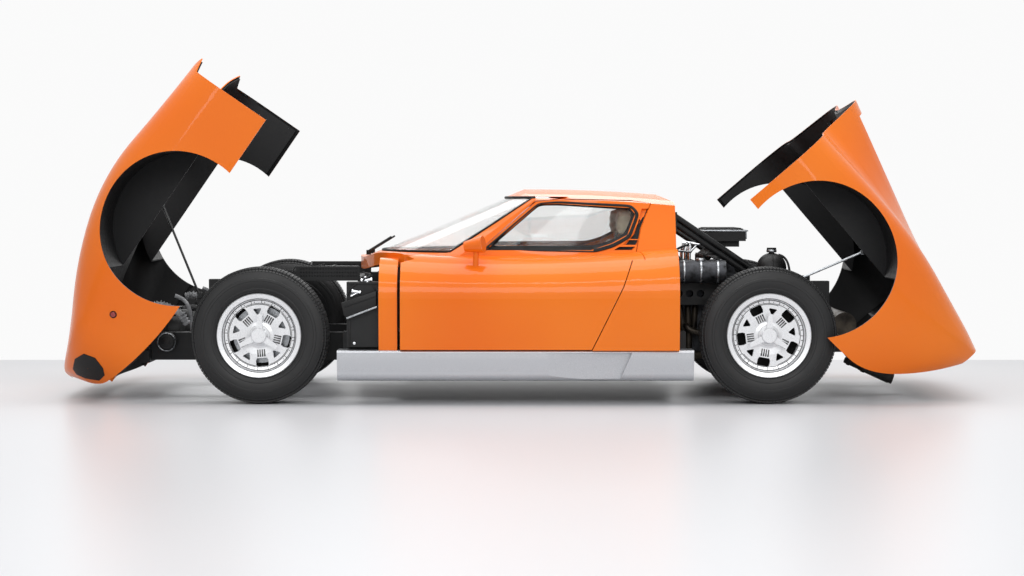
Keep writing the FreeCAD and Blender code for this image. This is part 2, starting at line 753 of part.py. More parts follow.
rear_liner = wall_loft(REAR_SECTIONS, skin + 0.3, skin + lining)
rear_liner = rear_liner.cut([
    rear_arches,
    slab(1800, mm(size.cabin_rear) + shut + 12, -far, far, 0, 1200),
    slab(1800, 2500, -far, far, 0, sill_line + 16),
    slab(2800, 3200, -far, far, 0, 300),
    side_prism([(2110, 600), (2110, 1100), (3030, 1100), (3030, 600)], -440, 440),
    slab(3100, 3600, -far, far, 0, 640),
    slab(3374, 3600, -far, far, 0, 900),
])
rear_wells = Part.makeCompound(wells(size.arch_rear, size.well_rear, 860, size.wheelbase, 560))
rear_wells = rear_wells.common(solid_loft(REAR_SECTIONS, skin + 1))
rear_liner = rear_liner.fuse(rear_wells.Solids)
rear_liner = rear_liner.fuse(Part.makeCylinder(8, 36.5, point(2654.5, -509, 560.3), -Y))
rear_part("rear_liner", clean(rear_liner))

# Engine louvres: slats across the deck's opening between two side rails.


def deck_height(x):
    """Height of the rear deck's edge at a station, from the sections on either side."""
    for near, next_row in zip(REAR_SECTIONS, REAR_SECTIONS[1:]):
        if near[0] <= x <= next_row[0]:
            part = (x - near[0]) / (next_row[0] - near[0])
            return near[2][1] + part * (next_row[2][1] - near[2][1])
    raise ValueError(x)


rail_line = [(x, deck_height(x)) for x in (2151, 2325, 2500, 2675, 2850, 3009)]
rail_outline = [(x, z + 2) for x, z in rail_line] + [(x, z - 30) for x, z in reversed(rail_line)]
louvres = [side_prism(rail_outline, -419.6, -402), side_prism(rail_outline, 402, 419.6)]
for step in range(6):
    x = 2190 + step * 138
    z, z_next = deck_height(x), deck_height(x + 126)
    slat = [(x, z - 4), (x + 6, z + 1), (x + 126, z_next - 14), (x + 120, z_next - 20)]
    louvres.append(side_prism(slat, -404, 404))
rear_part("engine_louvres", clean(louvres[0].fuse(louvres[1:])))

panel = side_prism([(3228, 336.3), (3242, 336.3), (3374.7, 588), (3374.7, 604), (3362, 604)], -600, 600)
rear_part("tail_panel", panel)
tail_lamps = []
for name, side in SIDES:
    lamp_outline = [(3312, 478), (3318, 474.6), (3352, 540.2), (3346, 543.6)]
    lamp = side_prism(lamp_outline, side * 400 - 110, side * 400 + 110)
    lamp.translate(Vector(3, 0, -1.6))
    tail_lamps.append(lamp.cut(panel))
rear_part("tail_lamps", Part.makeCompound(tail_lamps))

# ---------------------------------------------------------------- wheels, knuckles and suspension

shoulder = size.tyre_width / 2
groove_side = size.tread_groove * 2
tyre_half = [
    (size.tyre_radius - size.tread_groove, 20 - groove_side / 4), (size.tyre_radius, 20),
    (size.tyre_radius, shoulder * 0.56),
    (size.tyre_radius - 12, shoulder * 0.84), (size.tyre_radius - 44, shoulder * 0.97),
    (size.bead_radius + 66, shoulder), (size.bead_radius + 26, shoulder * 0.9),
    (size.flange_radius + 1, size.rim_width / 2 - 10), (size.bead_radius, size.rim_width / 2 - 10),
]
tyre_points = [(radius, -across) for radius, across in reversed(tyre_half)] + tyre_half
seat_radius = size.bead_radius - size.running_gap
rim_half = size.rim_width / 2
face_at = rim_half - size.disc_depth
# Wheel profile as (radius, across), outer side positive: barrel, flanges, disc and hub.
rim_points = [
    (size.stub_radius + size.running_gap, face_at - size.disc_wall - 46),
    (size.hub_radius, face_at - size.disc_wall - 46), (size.hub_radius + 4, face_at - size.disc_wall),
    (seat_radius - 42, face_at - size.disc_wall), (seat_radius - 36, face_at - size.disc_wall - 18),
    (seat_radius - size.rim_wall - 6, -rim_half + 34), (seat_radius - size.rim_wall, -rim_half + 6),
    (size.flange_radius - 4, -rim_half), (size.flange_radius, -rim_half + 4),
    (size.flange_radius - 4, -rim_half + 9.4), (seat_radius, -rim_half + 9.4),
    (seat_radius, rim_half - 9.4), (size.flange_radius - 4, rim_half - 9.4),
    (size.flange_radius, rim_half - 4),
    (size.flange_radius - 4, rim_half), (seat_radius - size.rim_wall, rim_half - 6),
    (seat_radius - size.rim_wall - 10, face_at + 8), (seat_radius - 34, face_at + 4),
    (size.hub_radius + 46, face_at + 4), (size.hub_radius + 16, face_at), (size.hub_radius, face_at + 6),
    (size.hub_radius - 2, face_at + 26), (size.hub_radius - 12, face_at + 34),
    (size.stub_radius + size.running_gap, face_at + 34),
]


def prism_tool(outline, low, high):
    """Outline (x, z) round the wheel's axis, pushed across from low to high."""
    nodes = [Vector(u, low, v) for u, v in outline]
    return Part.Face(Part.makePolygon(nodes + nodes[:1])).extrude(Vector(0, high - low, 0))


def wheel_tools():
    """Windows, fins and block ring of a wheel disc, about the wheel's own axis."""
    low, high = mm(face_at) - 60, mm(face_at) + 60
    face = mm(face_at) + 4
    tools = []
    for index in range(5):
        large = [(-25, 112), (25, 112), (31, 124), (31, 148), (24, 154), (-24, 154), (-31, 148), (-31, 124)]
        small = [(-3, 101), (3, 101), (20, 128), (16, 132), (-16, 132), (-20, 128)]
        for outline, turn in ((large, 72 * index), (small, 72 * index + 36)):
            tool = prism_tool(outline, low, high)
            tool.rotate(Vector(0, 0, 0), Y, turn)
            tools.append(tool)
        for across in (-17, -6, 5, 16):
            outline = [(across - 3, 70), (across + 3, 70), (across + 4, 106), (across - 4, 106)]
            fin = prism_tool(outline, face - 9, high)
            fin.rotate(Vector(0, 0, 0), Y, 72 * index)
            tools.append(fin)
    for index in range(20):
        groove = prism_tool([(-1.5, 158), (1.5, 158), (1.5, 173), (-1.5, 173)], face - 5, high)
        groove.rotate(Vector(0, 0, 0), Y, 18 * index + 9)
        tools.append(groove)
    for radius in (157, 172.5):
        ring = Part.makeCylinder(radius + 1.5, 60, Vector(0, face - 5, 0), Y)
        tools.append(ring.cut(Part.makeCylinder(radius - 1.5, 60, Vector(0, face - 5, 0), Y)))
    return tools


def spinner():
    """Three-eared nut over the hub."""
    base = mm(face_at) + 33
    cap = Part.makeCone(mm(size.hub_radius) - 8, mm(size.hub_radius) - 16, 20, Vector(0, base, 0), Y)
    for index in range(3):
        ear = prism_tool([(-16, 30), (16, 30), (10, mm(size.spinner_reach)), (-10, mm(size.spinner_reach))],
                         base + 3, base + 13)
        ear.rotate(Vector(0, 0, 0), Y, 120 * index - 3)
        cap = cap.fuse(ear)
    return cap


tools = wheel_tools()
for place_name, axle_x, roll in (("front", FRONT, 41.2), ("rear", REAR, 26)):
    for name, side in SIDES:
        where = "%s_%s" % (place_name, name)
        turn = Rotation(Z, 180) if side < 0 else Rotation()
        turned("tyre_" + where, tyre_points, axle_x, side * size.half_track, size.tyre_radius, turn)
        blank = turned("rim_blank_" + where, rim_points, 0, 0, 0)
        doc.recompute()
        disc = blank.Shape.cut(tools)
        disc.rotate(Vector(0, 0, 0), Y, roll)
        wheel = disc.fuse(spinner())
        # the disc faces outwards: +Y on the right, turned about on the left
        formed("wheel_" + where, clean(wheel),
               Placement(Vector(mm(axle_x), side * mm(size.half_track), mm(size.tyre_radius)), turn))

kingpin_y = size.half_track - size.kingpin
hub_in = kingpin_y - 24
for name, side in SIDES:
    axle = cylinder((FRONT, side * hub_in, size.tyre_radius), size.stub_radius, size.half_track - hub_in + 60,
                    Vector(0, side, 0))
    upright_foot = (FRONT, side * kingpin_y, size.tyre_radius - size.upright_half)
    upright = cylinder(upright_foot, 20, size.upright_half * 2, Z)
    brake = cylinder((FRONT, side * (kingpin_y + 24), size.tyre_radius), 140, 18, Vector(0, side, 0))
    fuse("knuckle_" + name, [axle, upright, brake])

front_arms = []
rear_arms = []
for name, side in SIDES:
    carrier_y = side * (size.half_track - 120)
    inner_y = side * (size.half_track - 150)
    for height, spread in ((-128, 130), (128, 90)):
        out_y = side * kingpin_y
        in_y = side * (size.rail_out + 9)
        z = size.tyre_radius + height
        for sign in (-1, 1):
            front_arms.append(rod((FRONT, out_y, z), (FRONT + sign * spread, in_y, z), 13))
            rear_arms.append(rod((REAR, carrier_y, z), (REAR + sign * spread, in_y, z), 14))
    front_arms.append(cylinder((FRONT + 104, side * (size.rail_out + 20.3), 205), 20, 280, Z))
    rear_arms.append(cylinder((REAR - 80, side * (size.rail_out + 32.4), 205), 32, 330, Z))
    outwards = Vector(0, side, 0)
    rear_arms.append(cylinder((REAR, inner_y, size.tyre_radius), size.stub_radius, 205, outwards))
    rear_arms.append(cylinder((REAR, carrier_y, size.tyre_radius - 140), 26, 280, Z))
    rear_arms.append(cylinder((REAR, side * (size.half_track - 92), size.tyre_radius), 140, 22, outwards))
    rear_arms.append(rod((REAR, side * 200.3, size.tyre_radius), (REAR, inner_y, size.tyre_radius), 20))
fuse("front_suspension", front_arms)
fuse("rear_suspension", rear_arms)

# ---------------------------------------------------------------- chassis

floor_top = size.floor_bottom + size.floor_wall
bulk = FRONT + 640
cabin_back = FRONT + size.cabin_rear
tub = [
    box((bulk, -700, size.floor_bottom), (cabin_back - 6, 700, floor_top)),
    box((bulk, -110, floor_top), (cabin_back - 6, 110, floor_top + 180)),
    box((bulk - 12, -640, size.floor_bottom), (bulk, 640, 640)),
    box((cabin_back - 30, -690, size.floor_bottom), (cabin_back - 6, 690, 686)),
]
for side in (-1, 1):
    low, high = sorted((side * 620, side * 706))
    side_end = FRONT + size.sill_rear - 30
    tub.append(box((FRONT + size.sill_front + 20, low, size.floor_bottom), (side_end, high, 352)))
    low, high = sorted((side * 700, side * 790))
    tub.append(box((FRONT + 430, low, 282), (FRONT + size.door_front - 8, high, 600)))
fuse("chassis_tub", tub)


def sill(side):
    """One sill: a rounded bar with the brake duct's step let into its outer face."""
    out, inn = mm(size.sill_out), mm(size.sill_in)
    top, bottom = mm(size.sill_top), mm(size.sill_bottom)
    x = mm(size.sill_front)
    outline = [(inn, bottom), (inn, top), (out - 16, top), (out - 2, top - 14), (out - 2, bottom + 44),
               (out - 40, bottom)]
    corners = [point(x, y, z) for y, z in outline]
    edges = [Part.LineSegment(corners[i], corners[i + 1]).toShape() for i in (0, 1)]
    edges.append(Part.Arc(corners[2], point(x, out - 5, top - 4), corners[3]).toShape())
    edges.append(Part.Arc(corners[3], point(x, out, (top + bottom) / 2 + 30), corners[4]).toShape())
    edges.append(Part.Arc(corners[4], point(x, out - 13, bottom + 12), corners[5]).toShape())
    edges.append(Part.LineSegment(corners[5], corners[0]).toShape())
    bar = Part.Face(Part.Wire(edges)).extrude(Vector(mm(size.sill_rear) - x, 0, 0))
    wires = []
    for z, end in ((bottom + 11, 1770), (top - 12, 1826)):
        duct = [(1420, out + 6), (end, out + 6), (end, out - 26), (1420, out - 3)]
        nodes = [point(x, y, z) for x, y in duct]
        wires.append(Part.makePolygon(nodes + nodes[:1]))
    bar = bar.cut(Part.makeLoft(wires, True, True))
    return bar if side > 0 else mirrored(bar)


formed("sills", Part.makeCompound([sill(-1), sill(1)]))

front_frame = []
rear_frame = []
for side in (-1, 1):
    low, high = sorted((side * mm(size.rail_out), side * (mm(size.rail_out) - mm(size.rail_width))))
    front_frame.append(box((FRONT - 640, low, 190), (bulk - 12, high, 330)))
    rear_frame.append(box((cabin_back - 6, low, 470), (FRONT + 2850, high, 590)))
    rear_frame.append(box((FRONT + 2780, low, 230), (FRONT + 2850, high, 470)))
    rear_frame.append(box((FRONT + 2850, low, 230), (FRONT + size.hinge_rear_x - 20, high, 300)))
front_frame.append(box((FRONT - 640, -450, 180), (FRONT - 590, 450, 260)))
front_frame.append(box((FRONT - 60, -328, 200), (FRONT + 60, 328, 260)))
front_frame.append(box((FRONT + 160, -440, 600), (FRONT + 470, 440, 606)))
front_frame.append(box((FRONT + 460, -440, 330), (FRONT + 470, 440, 600)))
for side in (-1, 1):
    low, high = sorted((side * 434, side * 440))
    front_frame.append(box((FRONT + 160, low, 600), (FRONT + 440, high, 668)))
    front_frame.append(box((FRONT - 298, side * 370 - 28, 500), (FRONT - 232, side * 370 + 28, 600)))
    front_frame.append(box((FRONT - 298, side * 370 - 28, 330), (FRONT - 282, side * 370 + 28, 500)))
rear_frame.append(box((FRONT + 2780, -328, 240), (FRONT + 2850, 328, 296)))
for side in (-1, 1):
    low, high = sorted((side * 340, side * mm(size.rail_out)))
    front_frame.append(box((FRONT - 140, low, 330), (FRONT + 140, high, 500)))
    rear_frame.append(box((REAR - 150, low, 185), (REAR + 150, high, 225)))
    rear_frame.append(box((REAR - 150, low, 225), (REAR - 40, high, 470)))
    rear_frame.append(box((REAR + 40, low, 225), (REAR + 150, high, 470)))
    y0 = side * 470
    outwards = Vector(0, side, 0)
    pin_x, pin_z = FRONT + size.hinge_front_x, size.hinge_front_z
    front_frame.append(cylinder((pin_x, y0, pin_z), size.hinge_pin, 60, outwards))
    low, high = sorted((y0, y0 - side * 24))
    front_frame.append(box((pin_x - 18, low, pin_z - 18), (FRONT - 590, high, pin_z + 18)))
    pin_x, pin_z = FRONT + size.hinge_rear_x, size.hinge_rear_z
    rear_frame.append(cylinder((pin_x, y0, pin_z), size.hinge_pin, 60, outwards))
    low, high = sorted((y0, side * 390))
    rear_frame.append(box((FRONT + 2960, low, pin_z - 18), (pin_x + 18, high, pin_z + 18)))
# seats of the two stays
front_frame.append(box((FRONT - 356, -413, 250), (FRONT - 326, -397, 534)))
front_frame.append(cylinder((FRONT - 341, -400, 518), 5, 34, -Y))
rear_frame.append(box((FRONT + 2680, -489, 575), (FRONT + 2708, -397, 590)))
rear_frame.append(box((FRONT + 2680, -489, 575), (FRONT + 2708, -483, 622)))
rear_frame.append(cylinder((FRONT + 2694, -486, 609), 5, 23, -Y))
tray_slots = []
for index in range(9):
    x = FRONT + 178 + index * 28
    tray_slots.append(box((x, -450, 618), (x + 14, 450, 652)))
cut("front_frame", fuse(helper_name("frame"), front_frame), tray_slots)
for side in (-1, 1):
    for lift in (0, 36):
        rear_frame.append(rod((cabin_back + 10, side * size.brace_y, 880 + lift),
                              (FRONT + 2465, side * 366, 612 + lift), size.brace_radius))
    low, high = sorted((side * (mm(size.brace_y) - 19), side * (mm(size.brace_y) + 19)))
    rear_frame.append(box((cabin_back + 0.3, low, 850), (cabin_back + 16, high, 940)))
    low, high = sorted((side * 345, side * 390))
    rear_frame.append(box((FRONT + 2440, low, 590), (FRONT + 2490, high, 660)))
rails = fuse(helper_name("rails"), rear_frame)
holes = []
for x in (2087, 2141, 2196):
    for side in (-1, 1):
        holes.append(cylinder((FRONT + x, side * mm(size.rail_out) - 75, 527), 19, 150, Y))
cut("rear_frame", rails, holes)

# ---------------------------------------------------------------- engine and its pieces

engine = [
    box((FRONT + 2080, -300, 230), (FRONT + 2380, 300, 560)),
    box((FRONT + 2380, -200, 200), (FRONT + 2640, 200, 420)),
    cylinder((FRONT + 2064, -480, 640), 57, 250, X),
    box((FRONT + 2150, -440, 612), (FRONT + 2190, -280, 652)),
]
# two cam covers, each a rounded ridge across the car
for x in (2090, 2250):
    engine.append(box((FRONT + x, -290, 560), (FRONT + x + 130, 290, 645)))
    engine.append(cylinder((FRONT + x + 34, -286, 645), 34, 572, Y))
    engine.append(cylinder((FRONT + x + 96, -286, 645), 34, 572, Y))
fuse("engine", engine)
# air box in three steps over a plenum rail
intake = [
    box((FRONT + 2226, -240, 790), (FRONT + 2442, 240, 842)),
    box((FRONT + 2238, -228, 842), (FRONT + 2430, 228, 854)),
    box((FRONT + 2292, -200, 760), (FRONT + 2412, 200, 790)),
    box((FRONT + 2222, -230, 690), (FRONT + 2250, 230, 720)),
]
for index in range(6):
    y = -200 + index * 80
    intake.append(cylinder((FRONT + 2236, y, 652), 19, 60, Z))
    intake.append(rod((FRONT + 2236, y, 700), (FRONT + 2320, y, 766), 19))
intake_whole = fuse(helper_name("intake"), intake)
cover_seats = [
    box((FRONT + 2200, -300, 600), (FRONT + 2300, 300, 660)),
    cylinder((FRONT + 2186, -300, 645), 34.3, 600, Y),
    cylinder((FRONT + 2284, -300, 645), 34.3, 600, Y),
]
cut("intake", intake_whole, cover_seats)
exhaust = []
for index in range(6):
    y = -250 + index * 100
    exhaust.append(rod((FRONT + 2390.2, y, 530), (FRONT + 2500, y, 470), 20))
exhaust.append(cylinder((FRONT + 2500, -300, 464), 34, 600, Y))
exhaust.append(cylinder((FRONT + 2925, -420, 372), 60, 840, Y))
for y in (-262, 262):
    exhaust.append(rod((FRONT + 2500, y, 464), (FRONT + 2925, y, 372), 30))
    exhaust.append(rod((FRONT + 2925, y * 0.88, 350), (FRONT + 3090, y * 0.88, 140), 33))
for side in (-1, 1):
    y = side * 322
    for index in range(3):
        port, foot = 2100 + index * 38, 2118 + index * 24
        exhaust.append(cylinder((FRONT + port, side * 300.2, 452), 15, abs(y) - 300.2, Vector(0, side, 0)))
        exhaust.append(rod((FRONT + port, y, 452), (FRONT + foot, y, 318), 15))
        for x, z in ((port, 452), (foot, 318)):
            exhaust.append(formed(helper_name("bend"), Part.makeSphere(15, point(x, y, z))))
    exhaust.append(rod((FRONT + 2142, y, 332), (FRONT + 2142, y, 205), 18))
    exhaust.append(rod((FRONT + 2142, y, 207), (FRONT + 2424, side * 262, 207), 18))
    exhaust.append(rod((FRONT + 2424, side * 262, 205), (FRONT + 2452, side * 262, 462), 18))
fuse("exhaust", exhaust)
# round coolant tank with a seam, a neck and a cap, flattened where it sits on the rail
tank_at = (2565, -318)
tank = Part.makeSphere(76, point(*tank_at, 656)).fuse([
    Part.makeTorus(76.5, 2.5, point(*tank_at, 656), X),
    Part.makeCylinder(14, 26, point(*tank_at, 728), Z),
    Part.makeCylinder(24, 12, point(*tank_at, 746), Z),
])
tank = tank.cut(slab(2480, 2650, -420, -220, 500, 590.3))
formed("coolant_tank", tank)

radiator = [box((FRONT - 589.7, -327.7, 200), (FRONT - 530, 327.7, 430))]
for y in (-150, 150):
    radiator.append(cylinder((FRONT - 530, y, 312), 108, 60, X))
fuse("radiator", radiator)

# ---------------------------------------------------------------- cabin fittings

# Seat seen from the side: cushion, back and headrest.
SEAT_BACK = [(1330, 142.3), (1330, 262), (1372, 286), (1560, 258), (1604, 300), (1752, 790), (1790, 816),
             (1850, 806), (1860, 770), (1716, 290), (1680, 142.3)]
HEADREST = [(1768, 800), (1772, 850), (1790, 950), (1826, 962), (1876, 952), (1884, 930), (1850, 790)]
for name, side in SIDES:
    y = side * 345
    seat = side_prism(SEAT_BACK, y - 200, y + 200).fuse(side_prism(HEADREST, y - 115, y + 115))
    formed("seat_" + name, clean(seat))
dash = [
    box((FRONT + 900, -600, 540), (FRONT + 1060, 600, 660)),
    box((FRONT + 800, -90, floor_top + 180), (FRONT + 1060, 90, 540)),
]
fuse("dashboard", dash)
wheel_ring = doc.addObject("Part::Torus", "wheel_ring")
bind(wheel_ring, "Radius1", 180)
bind(wheel_ring, "Radius2", 12)
place(wheel_ring, FRONT + 1200, -345, 600, Rotation(Y, -62))
column = rod((FRONT + 1067.9, -345, 530.2), (FRONT + 1196, -345, 598), 16)
hub = cylinder((FRONT + 1186, -345, 594), 40, 16, Vector(0.88, 0, 0.47))
bar = rod((FRONT + 1200, -345 - 172, 600), (FRONT + 1200, -345 + 172, 600), 8)
fuse("steering_wheel", [wheel_ring, column, hub, bar])


def top_of(shape, x, y):
    """Height of a shape's upper surface over a spot."""
    probe = Part.makeLine(point(x, y, 300), point(x, y, 1500))
    return shape.common(probe).BoundBox.ZMax


wiper = []
for y in (-150, 190):
    spots = [(497 + step, y + shift) for step in (-12, 0, 12) for shift in (-12, 0, 12)]
    foot_z = max(top_of(cabin_wall, *spot) for spot in spots) + 0.3
    wiper.append(cylinder((FRONT + 497, y, foot_z), 12, 24, Z))
    wiper.append(rod((FRONT + 497, y, foot_z + 20), (FRONT + 600, y + 230, foot_z + 88), 5))
fuse("wipers", wiper)

# ---------------------------------------------------------------- stays

STAYS = (
    # label, eye on the frame, eye on the clamshell
    ("front_stay", (-341, -425, 518), (-528, -425, 981)),
    ("rear_stay", (2694, -500, 609), (3000, -500, 739)),
)
for label, foot, eye in STAYS:
    start, end = point(*foot), point(*eye)
    along = (end - start).normalize()
    bar = Part.makeCylinder(mm(size.stay_radius), (end - start).Length - 16, start + along * 8, along)
    eyes = [Part.makeCylinder(12, 12, centre - Y * 6, Y) for centre in (start, end)]
    holes = [Part.makeCylinder(5.3, 40, centre - Y * 20, Y) for centre in (start, end)]
    formed(label, bar.fuse(eyes).cut(holes))

# ---------------------------------------------------------------- check and export

NODES = (
    "chassis_tub", "front_frame", "rear_frame", "cabin_shell", "windscreen", "bulkhead_window", "sills",
    "dashboard", "steering_wheel", "seat_left", "seat_right", "engine", "intake", "exhaust",
    "coolant_tank", "radiator", "front_suspension", "rear_suspension", "wipers",
    "knuckle_left", "knuckle_right",
    "wheel_front_left", "wheel_front_right", "wheel_rear_left", "wheel_rear_right",
    "tyre_front_left", "tyre_front_right", "tyre_rear_left", "tyre_rear_right",
    "front_clamshell", "front_liner", "headlamp_left", "headlamp_right", "nose_grille",
    "rear_clamshell", "rear_liner", "engine_louvres", "tail_panel", "tail_lamps",
    "door_left", "door_right", "door_glass_left", "door_glass_right",
    "front_stay", "rear_stay",
)

doc.recompute()
for thing in doc.Objects:
    if "Invalid" in thing.State or "Error" in thing.State:
        raise RuntimeError("%s did not build" % thing.Label)

os.makedirs("parts", exist_ok=True)
by_label = {thing.Label: thing for thing in doc.Objects}
low = Vector(1e9, 1e9, 1e9)
high = Vector(-1e9, -1e9, -1e9)
for node in NODES:
    shape = by_label[node].Shape
    if shape.isNull() or not shape.isValid() or not shape.Solids:
        raise RuntimeError("%s has no valid shape" % node)
    bounds = shape.optimalBoundingBox(False)
    low = Vector(min(low.x, bounds.XMin), min(low.y, bounds.YMin), min(low.z, bounds.ZMin))
    high = Vector(max(high.x, bounds.XMax), max(high.y, bounds.YMax), max(high.z, bounds.ZMax))
    shape.exportStep("parts/%s.step" % node)
    print("%-20s solids %2d  volume %9.0f cm3  x %6.0f %6.0f  y %5.0f %5.0f  z %5.0f %5.0f" % (
        node, len(shape.Solids), shape.Volume / 1000, bounds.XMin, bounds.XMax, bounds.YMin, bounds.YMax,
        bounds.ZMin, bounds.ZMax))
print("whole", low, high)
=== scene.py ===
"""Looks of a low mid-engined coupe with raised clamshells: finishes, small fittings, stage and camera."""

import json
import math

import bmesh
import bpy
from mathutils import Matrix, Vector


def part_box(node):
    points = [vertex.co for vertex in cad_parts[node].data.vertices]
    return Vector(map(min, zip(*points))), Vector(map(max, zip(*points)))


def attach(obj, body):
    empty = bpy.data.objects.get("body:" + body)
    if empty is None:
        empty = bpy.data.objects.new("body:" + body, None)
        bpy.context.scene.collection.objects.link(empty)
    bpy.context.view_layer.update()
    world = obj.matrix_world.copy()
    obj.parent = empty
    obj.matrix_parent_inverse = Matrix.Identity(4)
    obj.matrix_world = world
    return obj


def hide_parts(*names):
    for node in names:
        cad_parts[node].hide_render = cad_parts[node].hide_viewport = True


bl_info = {
    "name": "Mid-engined coupe",
    "version": (1, 0, 0),
    "blender": (4, 5, 0),
    "location": "View3D > Sidebar > Coupe",
    "description": "Dresses the coupe's frame with finishes, tyres, seats, trim and a studio",
    "category": "Object",
}

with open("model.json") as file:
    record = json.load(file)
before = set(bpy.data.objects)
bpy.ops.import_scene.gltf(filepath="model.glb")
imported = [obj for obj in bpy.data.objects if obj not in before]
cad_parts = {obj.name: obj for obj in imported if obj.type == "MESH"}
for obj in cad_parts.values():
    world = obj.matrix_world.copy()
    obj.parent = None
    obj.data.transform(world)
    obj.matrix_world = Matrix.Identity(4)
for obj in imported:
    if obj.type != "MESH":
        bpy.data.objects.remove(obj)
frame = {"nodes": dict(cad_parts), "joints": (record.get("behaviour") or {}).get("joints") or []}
NODES = frame["nodes"]
JOINTS = {joint["name"]: joint for joint in frame["joints"]}
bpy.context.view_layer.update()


def middle(node):
    """Middle of a node's box."""
    low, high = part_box(node)
    return (low + high) / 2


AXLE_X = middle("tyre_front_left").x
TYRE_LOW, TYRE_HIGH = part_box("tyre_front_left")
TYRE_RADIUS = (TYRE_HIGH.z - TYRE_LOW.z) / 2
TYRE_WIDTH = TYRE_HIGH.y - TYRE_LOW.y
CORNERS = tuple((end, side) for end in ("front", "rear") for side in ("left", "right"))
ACROSS = Vector((0, 1, 0))
MIRROR = Matrix.Scale(-1, 4, ACROSS)
BOTH = (("left", Matrix()), ("right", MIRROR))


def at(station, y, z):
    """A place on the car: its station is in metres behind the front axle."""
    return Vector((AXLE_X + station, y, z))


def path(*places):
    """Several places, each given as (station, y, z)."""
    return [at(*place) for place in places]


def opened(name):
    """The turn that carries a clamshell from shut to its raised rest pose."""
    joint = JOINTS[name]
    pivot = Matrix.Translation(Vector(joint["pos_m"]))
    angle = -math.radians(joint["range_deg"][1])
    return pivot @ Matrix.Rotation(angle, 4, Vector(joint["axis"])) @ pivot.inverted()


FRONT_LID = opened("front_lid_hinge")
REAR_LID = opened("rear_lid_hinge")


# ---------------------------------------------------------------- modelling


def only(*pieces):
    """Leaves object mode with just these pieces selected, the first one active."""
    if bpy.context.object and bpy.context.object.mode != "OBJECT":
        bpy.ops.object.mode_set(mode="OBJECT")
    bpy.ops.object.select_all(action="DESELECT")
    for piece in pieces:
        piece.select_set(True)
    bpy.context.view_layer.objects.active = pieces[0]


def start(kind, name, **settings):
    """A primitive at its size and place, alone in the selection."""
    bpy.ops.object.select_all(action="DESELECT")
    getattr(bpy.ops.mesh, "primitive_%s_add" % kind)(**settings)
    piece = bpy.context.object
    piece.name = name
    return piece


def baked(piece):
    """Moves a piece's place, turn and scale into its mesh."""
    only(piece)
    bpy.ops.object.transform_apply(location=True, rotation=True, scale=True)
    return piece


def modified(piece, kind, **settings):
    """Adds a modifier with its settings, and applies it."""
    only(piece)
    modifier = piece.modifiers.new(kind.lower(), kind)
    for name, value in settings.items():
        setattr(modifier, name, value)
    bpy.ops.object.modifier_apply(modifier=modifier.name)
    return piece


def bevelled(piece, width, segments=2, angle=40):
    """Rounds every edge sharper than an angle."""
    return modified(baked(piece), "BEVEL", width=width, segments=segments, limit_method="ANGLE",
                    angle_limit=math.radians(angle))


def thickened(piece, thickness, offset=0.0):
    """Gives a sheet its wall."""
    return modified(piece, "SOLIDIFY", thickness=thickness, offset=offset)


def pick(piece, mode, test=lambda item: True):
    """Edit mode with the points or faces that pass a test selected."""
    only(piece)
    bpy.ops.object.mode_set(mode="EDIT")
    bpy.ops.mesh.select_mode(type=mode)
    bpy.ops.mesh.select_all(action="DESELECT")
    mesh = bmesh.from_edit_mesh(piece.data)
    for item in {"VERT": mesh.verts, "FACE": mesh.faces}[mode]:
        item.select_set(bool(test(item)))
    mesh.select_flush_mode()
    bmesh.update_edit_mesh(piece.data)


def face_outwards(piece, merge=None):
    """Turns every face outwards, after merging points closer than a distance."""
    pick(piece, "VERT")
    if merge:
        bpy.ops.mesh.remove_doubles(threshold=merge)
    bpy.ops.mesh.normals_make_consistent(inside=False)
    bpy.ops.object.mode_set(mode="OBJECT")


def block(name, low, high, edge=0.002, turn=(0, 0, 0)):
    """A box between two corners with rounded edges, turned about its middle."""
    piece = start("cube", name, size=1, location=(low + high) / 2)
    piece.scale = high - low
    piece.rotation_euler = turn
    return bevelled(piece, edge)


def facing(axis):
    """The turn that points Z along an axis."""
    return Vector(axis).to_track_quat("Z", "Y").to_euler()


def disc(name, centre, radius, depth, axis, edge=0.0015, vertices=32):
    """A short round piece with rounded rims, its axis along a direction."""
    piece = start("cylinder", name, vertices=vertices, radius=radius, depth=depth, location=centre,
                  rotation=facing(axis))
    return bevelled(piece, edge)


def hoop(name, centre, radius, wire, turn=(0, 0, 0), segments=40, sides=8):
    """A ring of round wire."""
    return start("torus", name, major_radius=radius, minor_radius=wire, major_segments=segments,
                 minor_segments=sides, location=centre, rotation=turn)


def tube(name, points, radius, smooth=True, sides=4):
    """A pipe or hose along points: a smooth curve with round section, made a mesh."""
    data = bpy.data.curves.new(name, "CURVE")
    data.dimensions = "3D"
    spline = data.splines.new("NURBS" if smooth else "POLY")
    spline.points.add(len(points) - 1)
    for point, place in zip(spline.points, points):
        point.co = (*place, 1)
    if smooth:
        spline.order_u = 3
        spline.use_endpoint_u = True
    spline.resolution_u = 6
    data.bevel_depth = radius
    data.bevel_resolution = sides
    data.use_fill_caps = True
    piece = bpy.data.objects.new(name, data)
    bpy.context.collection.objects.link(piece)
    only(piece)
    bpy.ops.object.convert(target="MESH")
    return bpy.context.object


def rod(name, points, radius, sides=4):
    """A rod or pipe with straight runs between its points."""
    return tube(name, points, radius, smooth=False, sides=sides)


def hose(name, radius, *places):
    """A bent pipe, hose or lever along places given as (station, y, z)."""
    return tube(name, path(*places), radius)


def linked(name, mesh):
    """An object from a bmesh."""
    data = bpy.data.meshes.new(name)
    mesh.to_mesh(data)
    mesh.free()
    piece = bpy.data.objects.new(name, data)
    bpy.context.collection.objects.link(piece)
    return piece


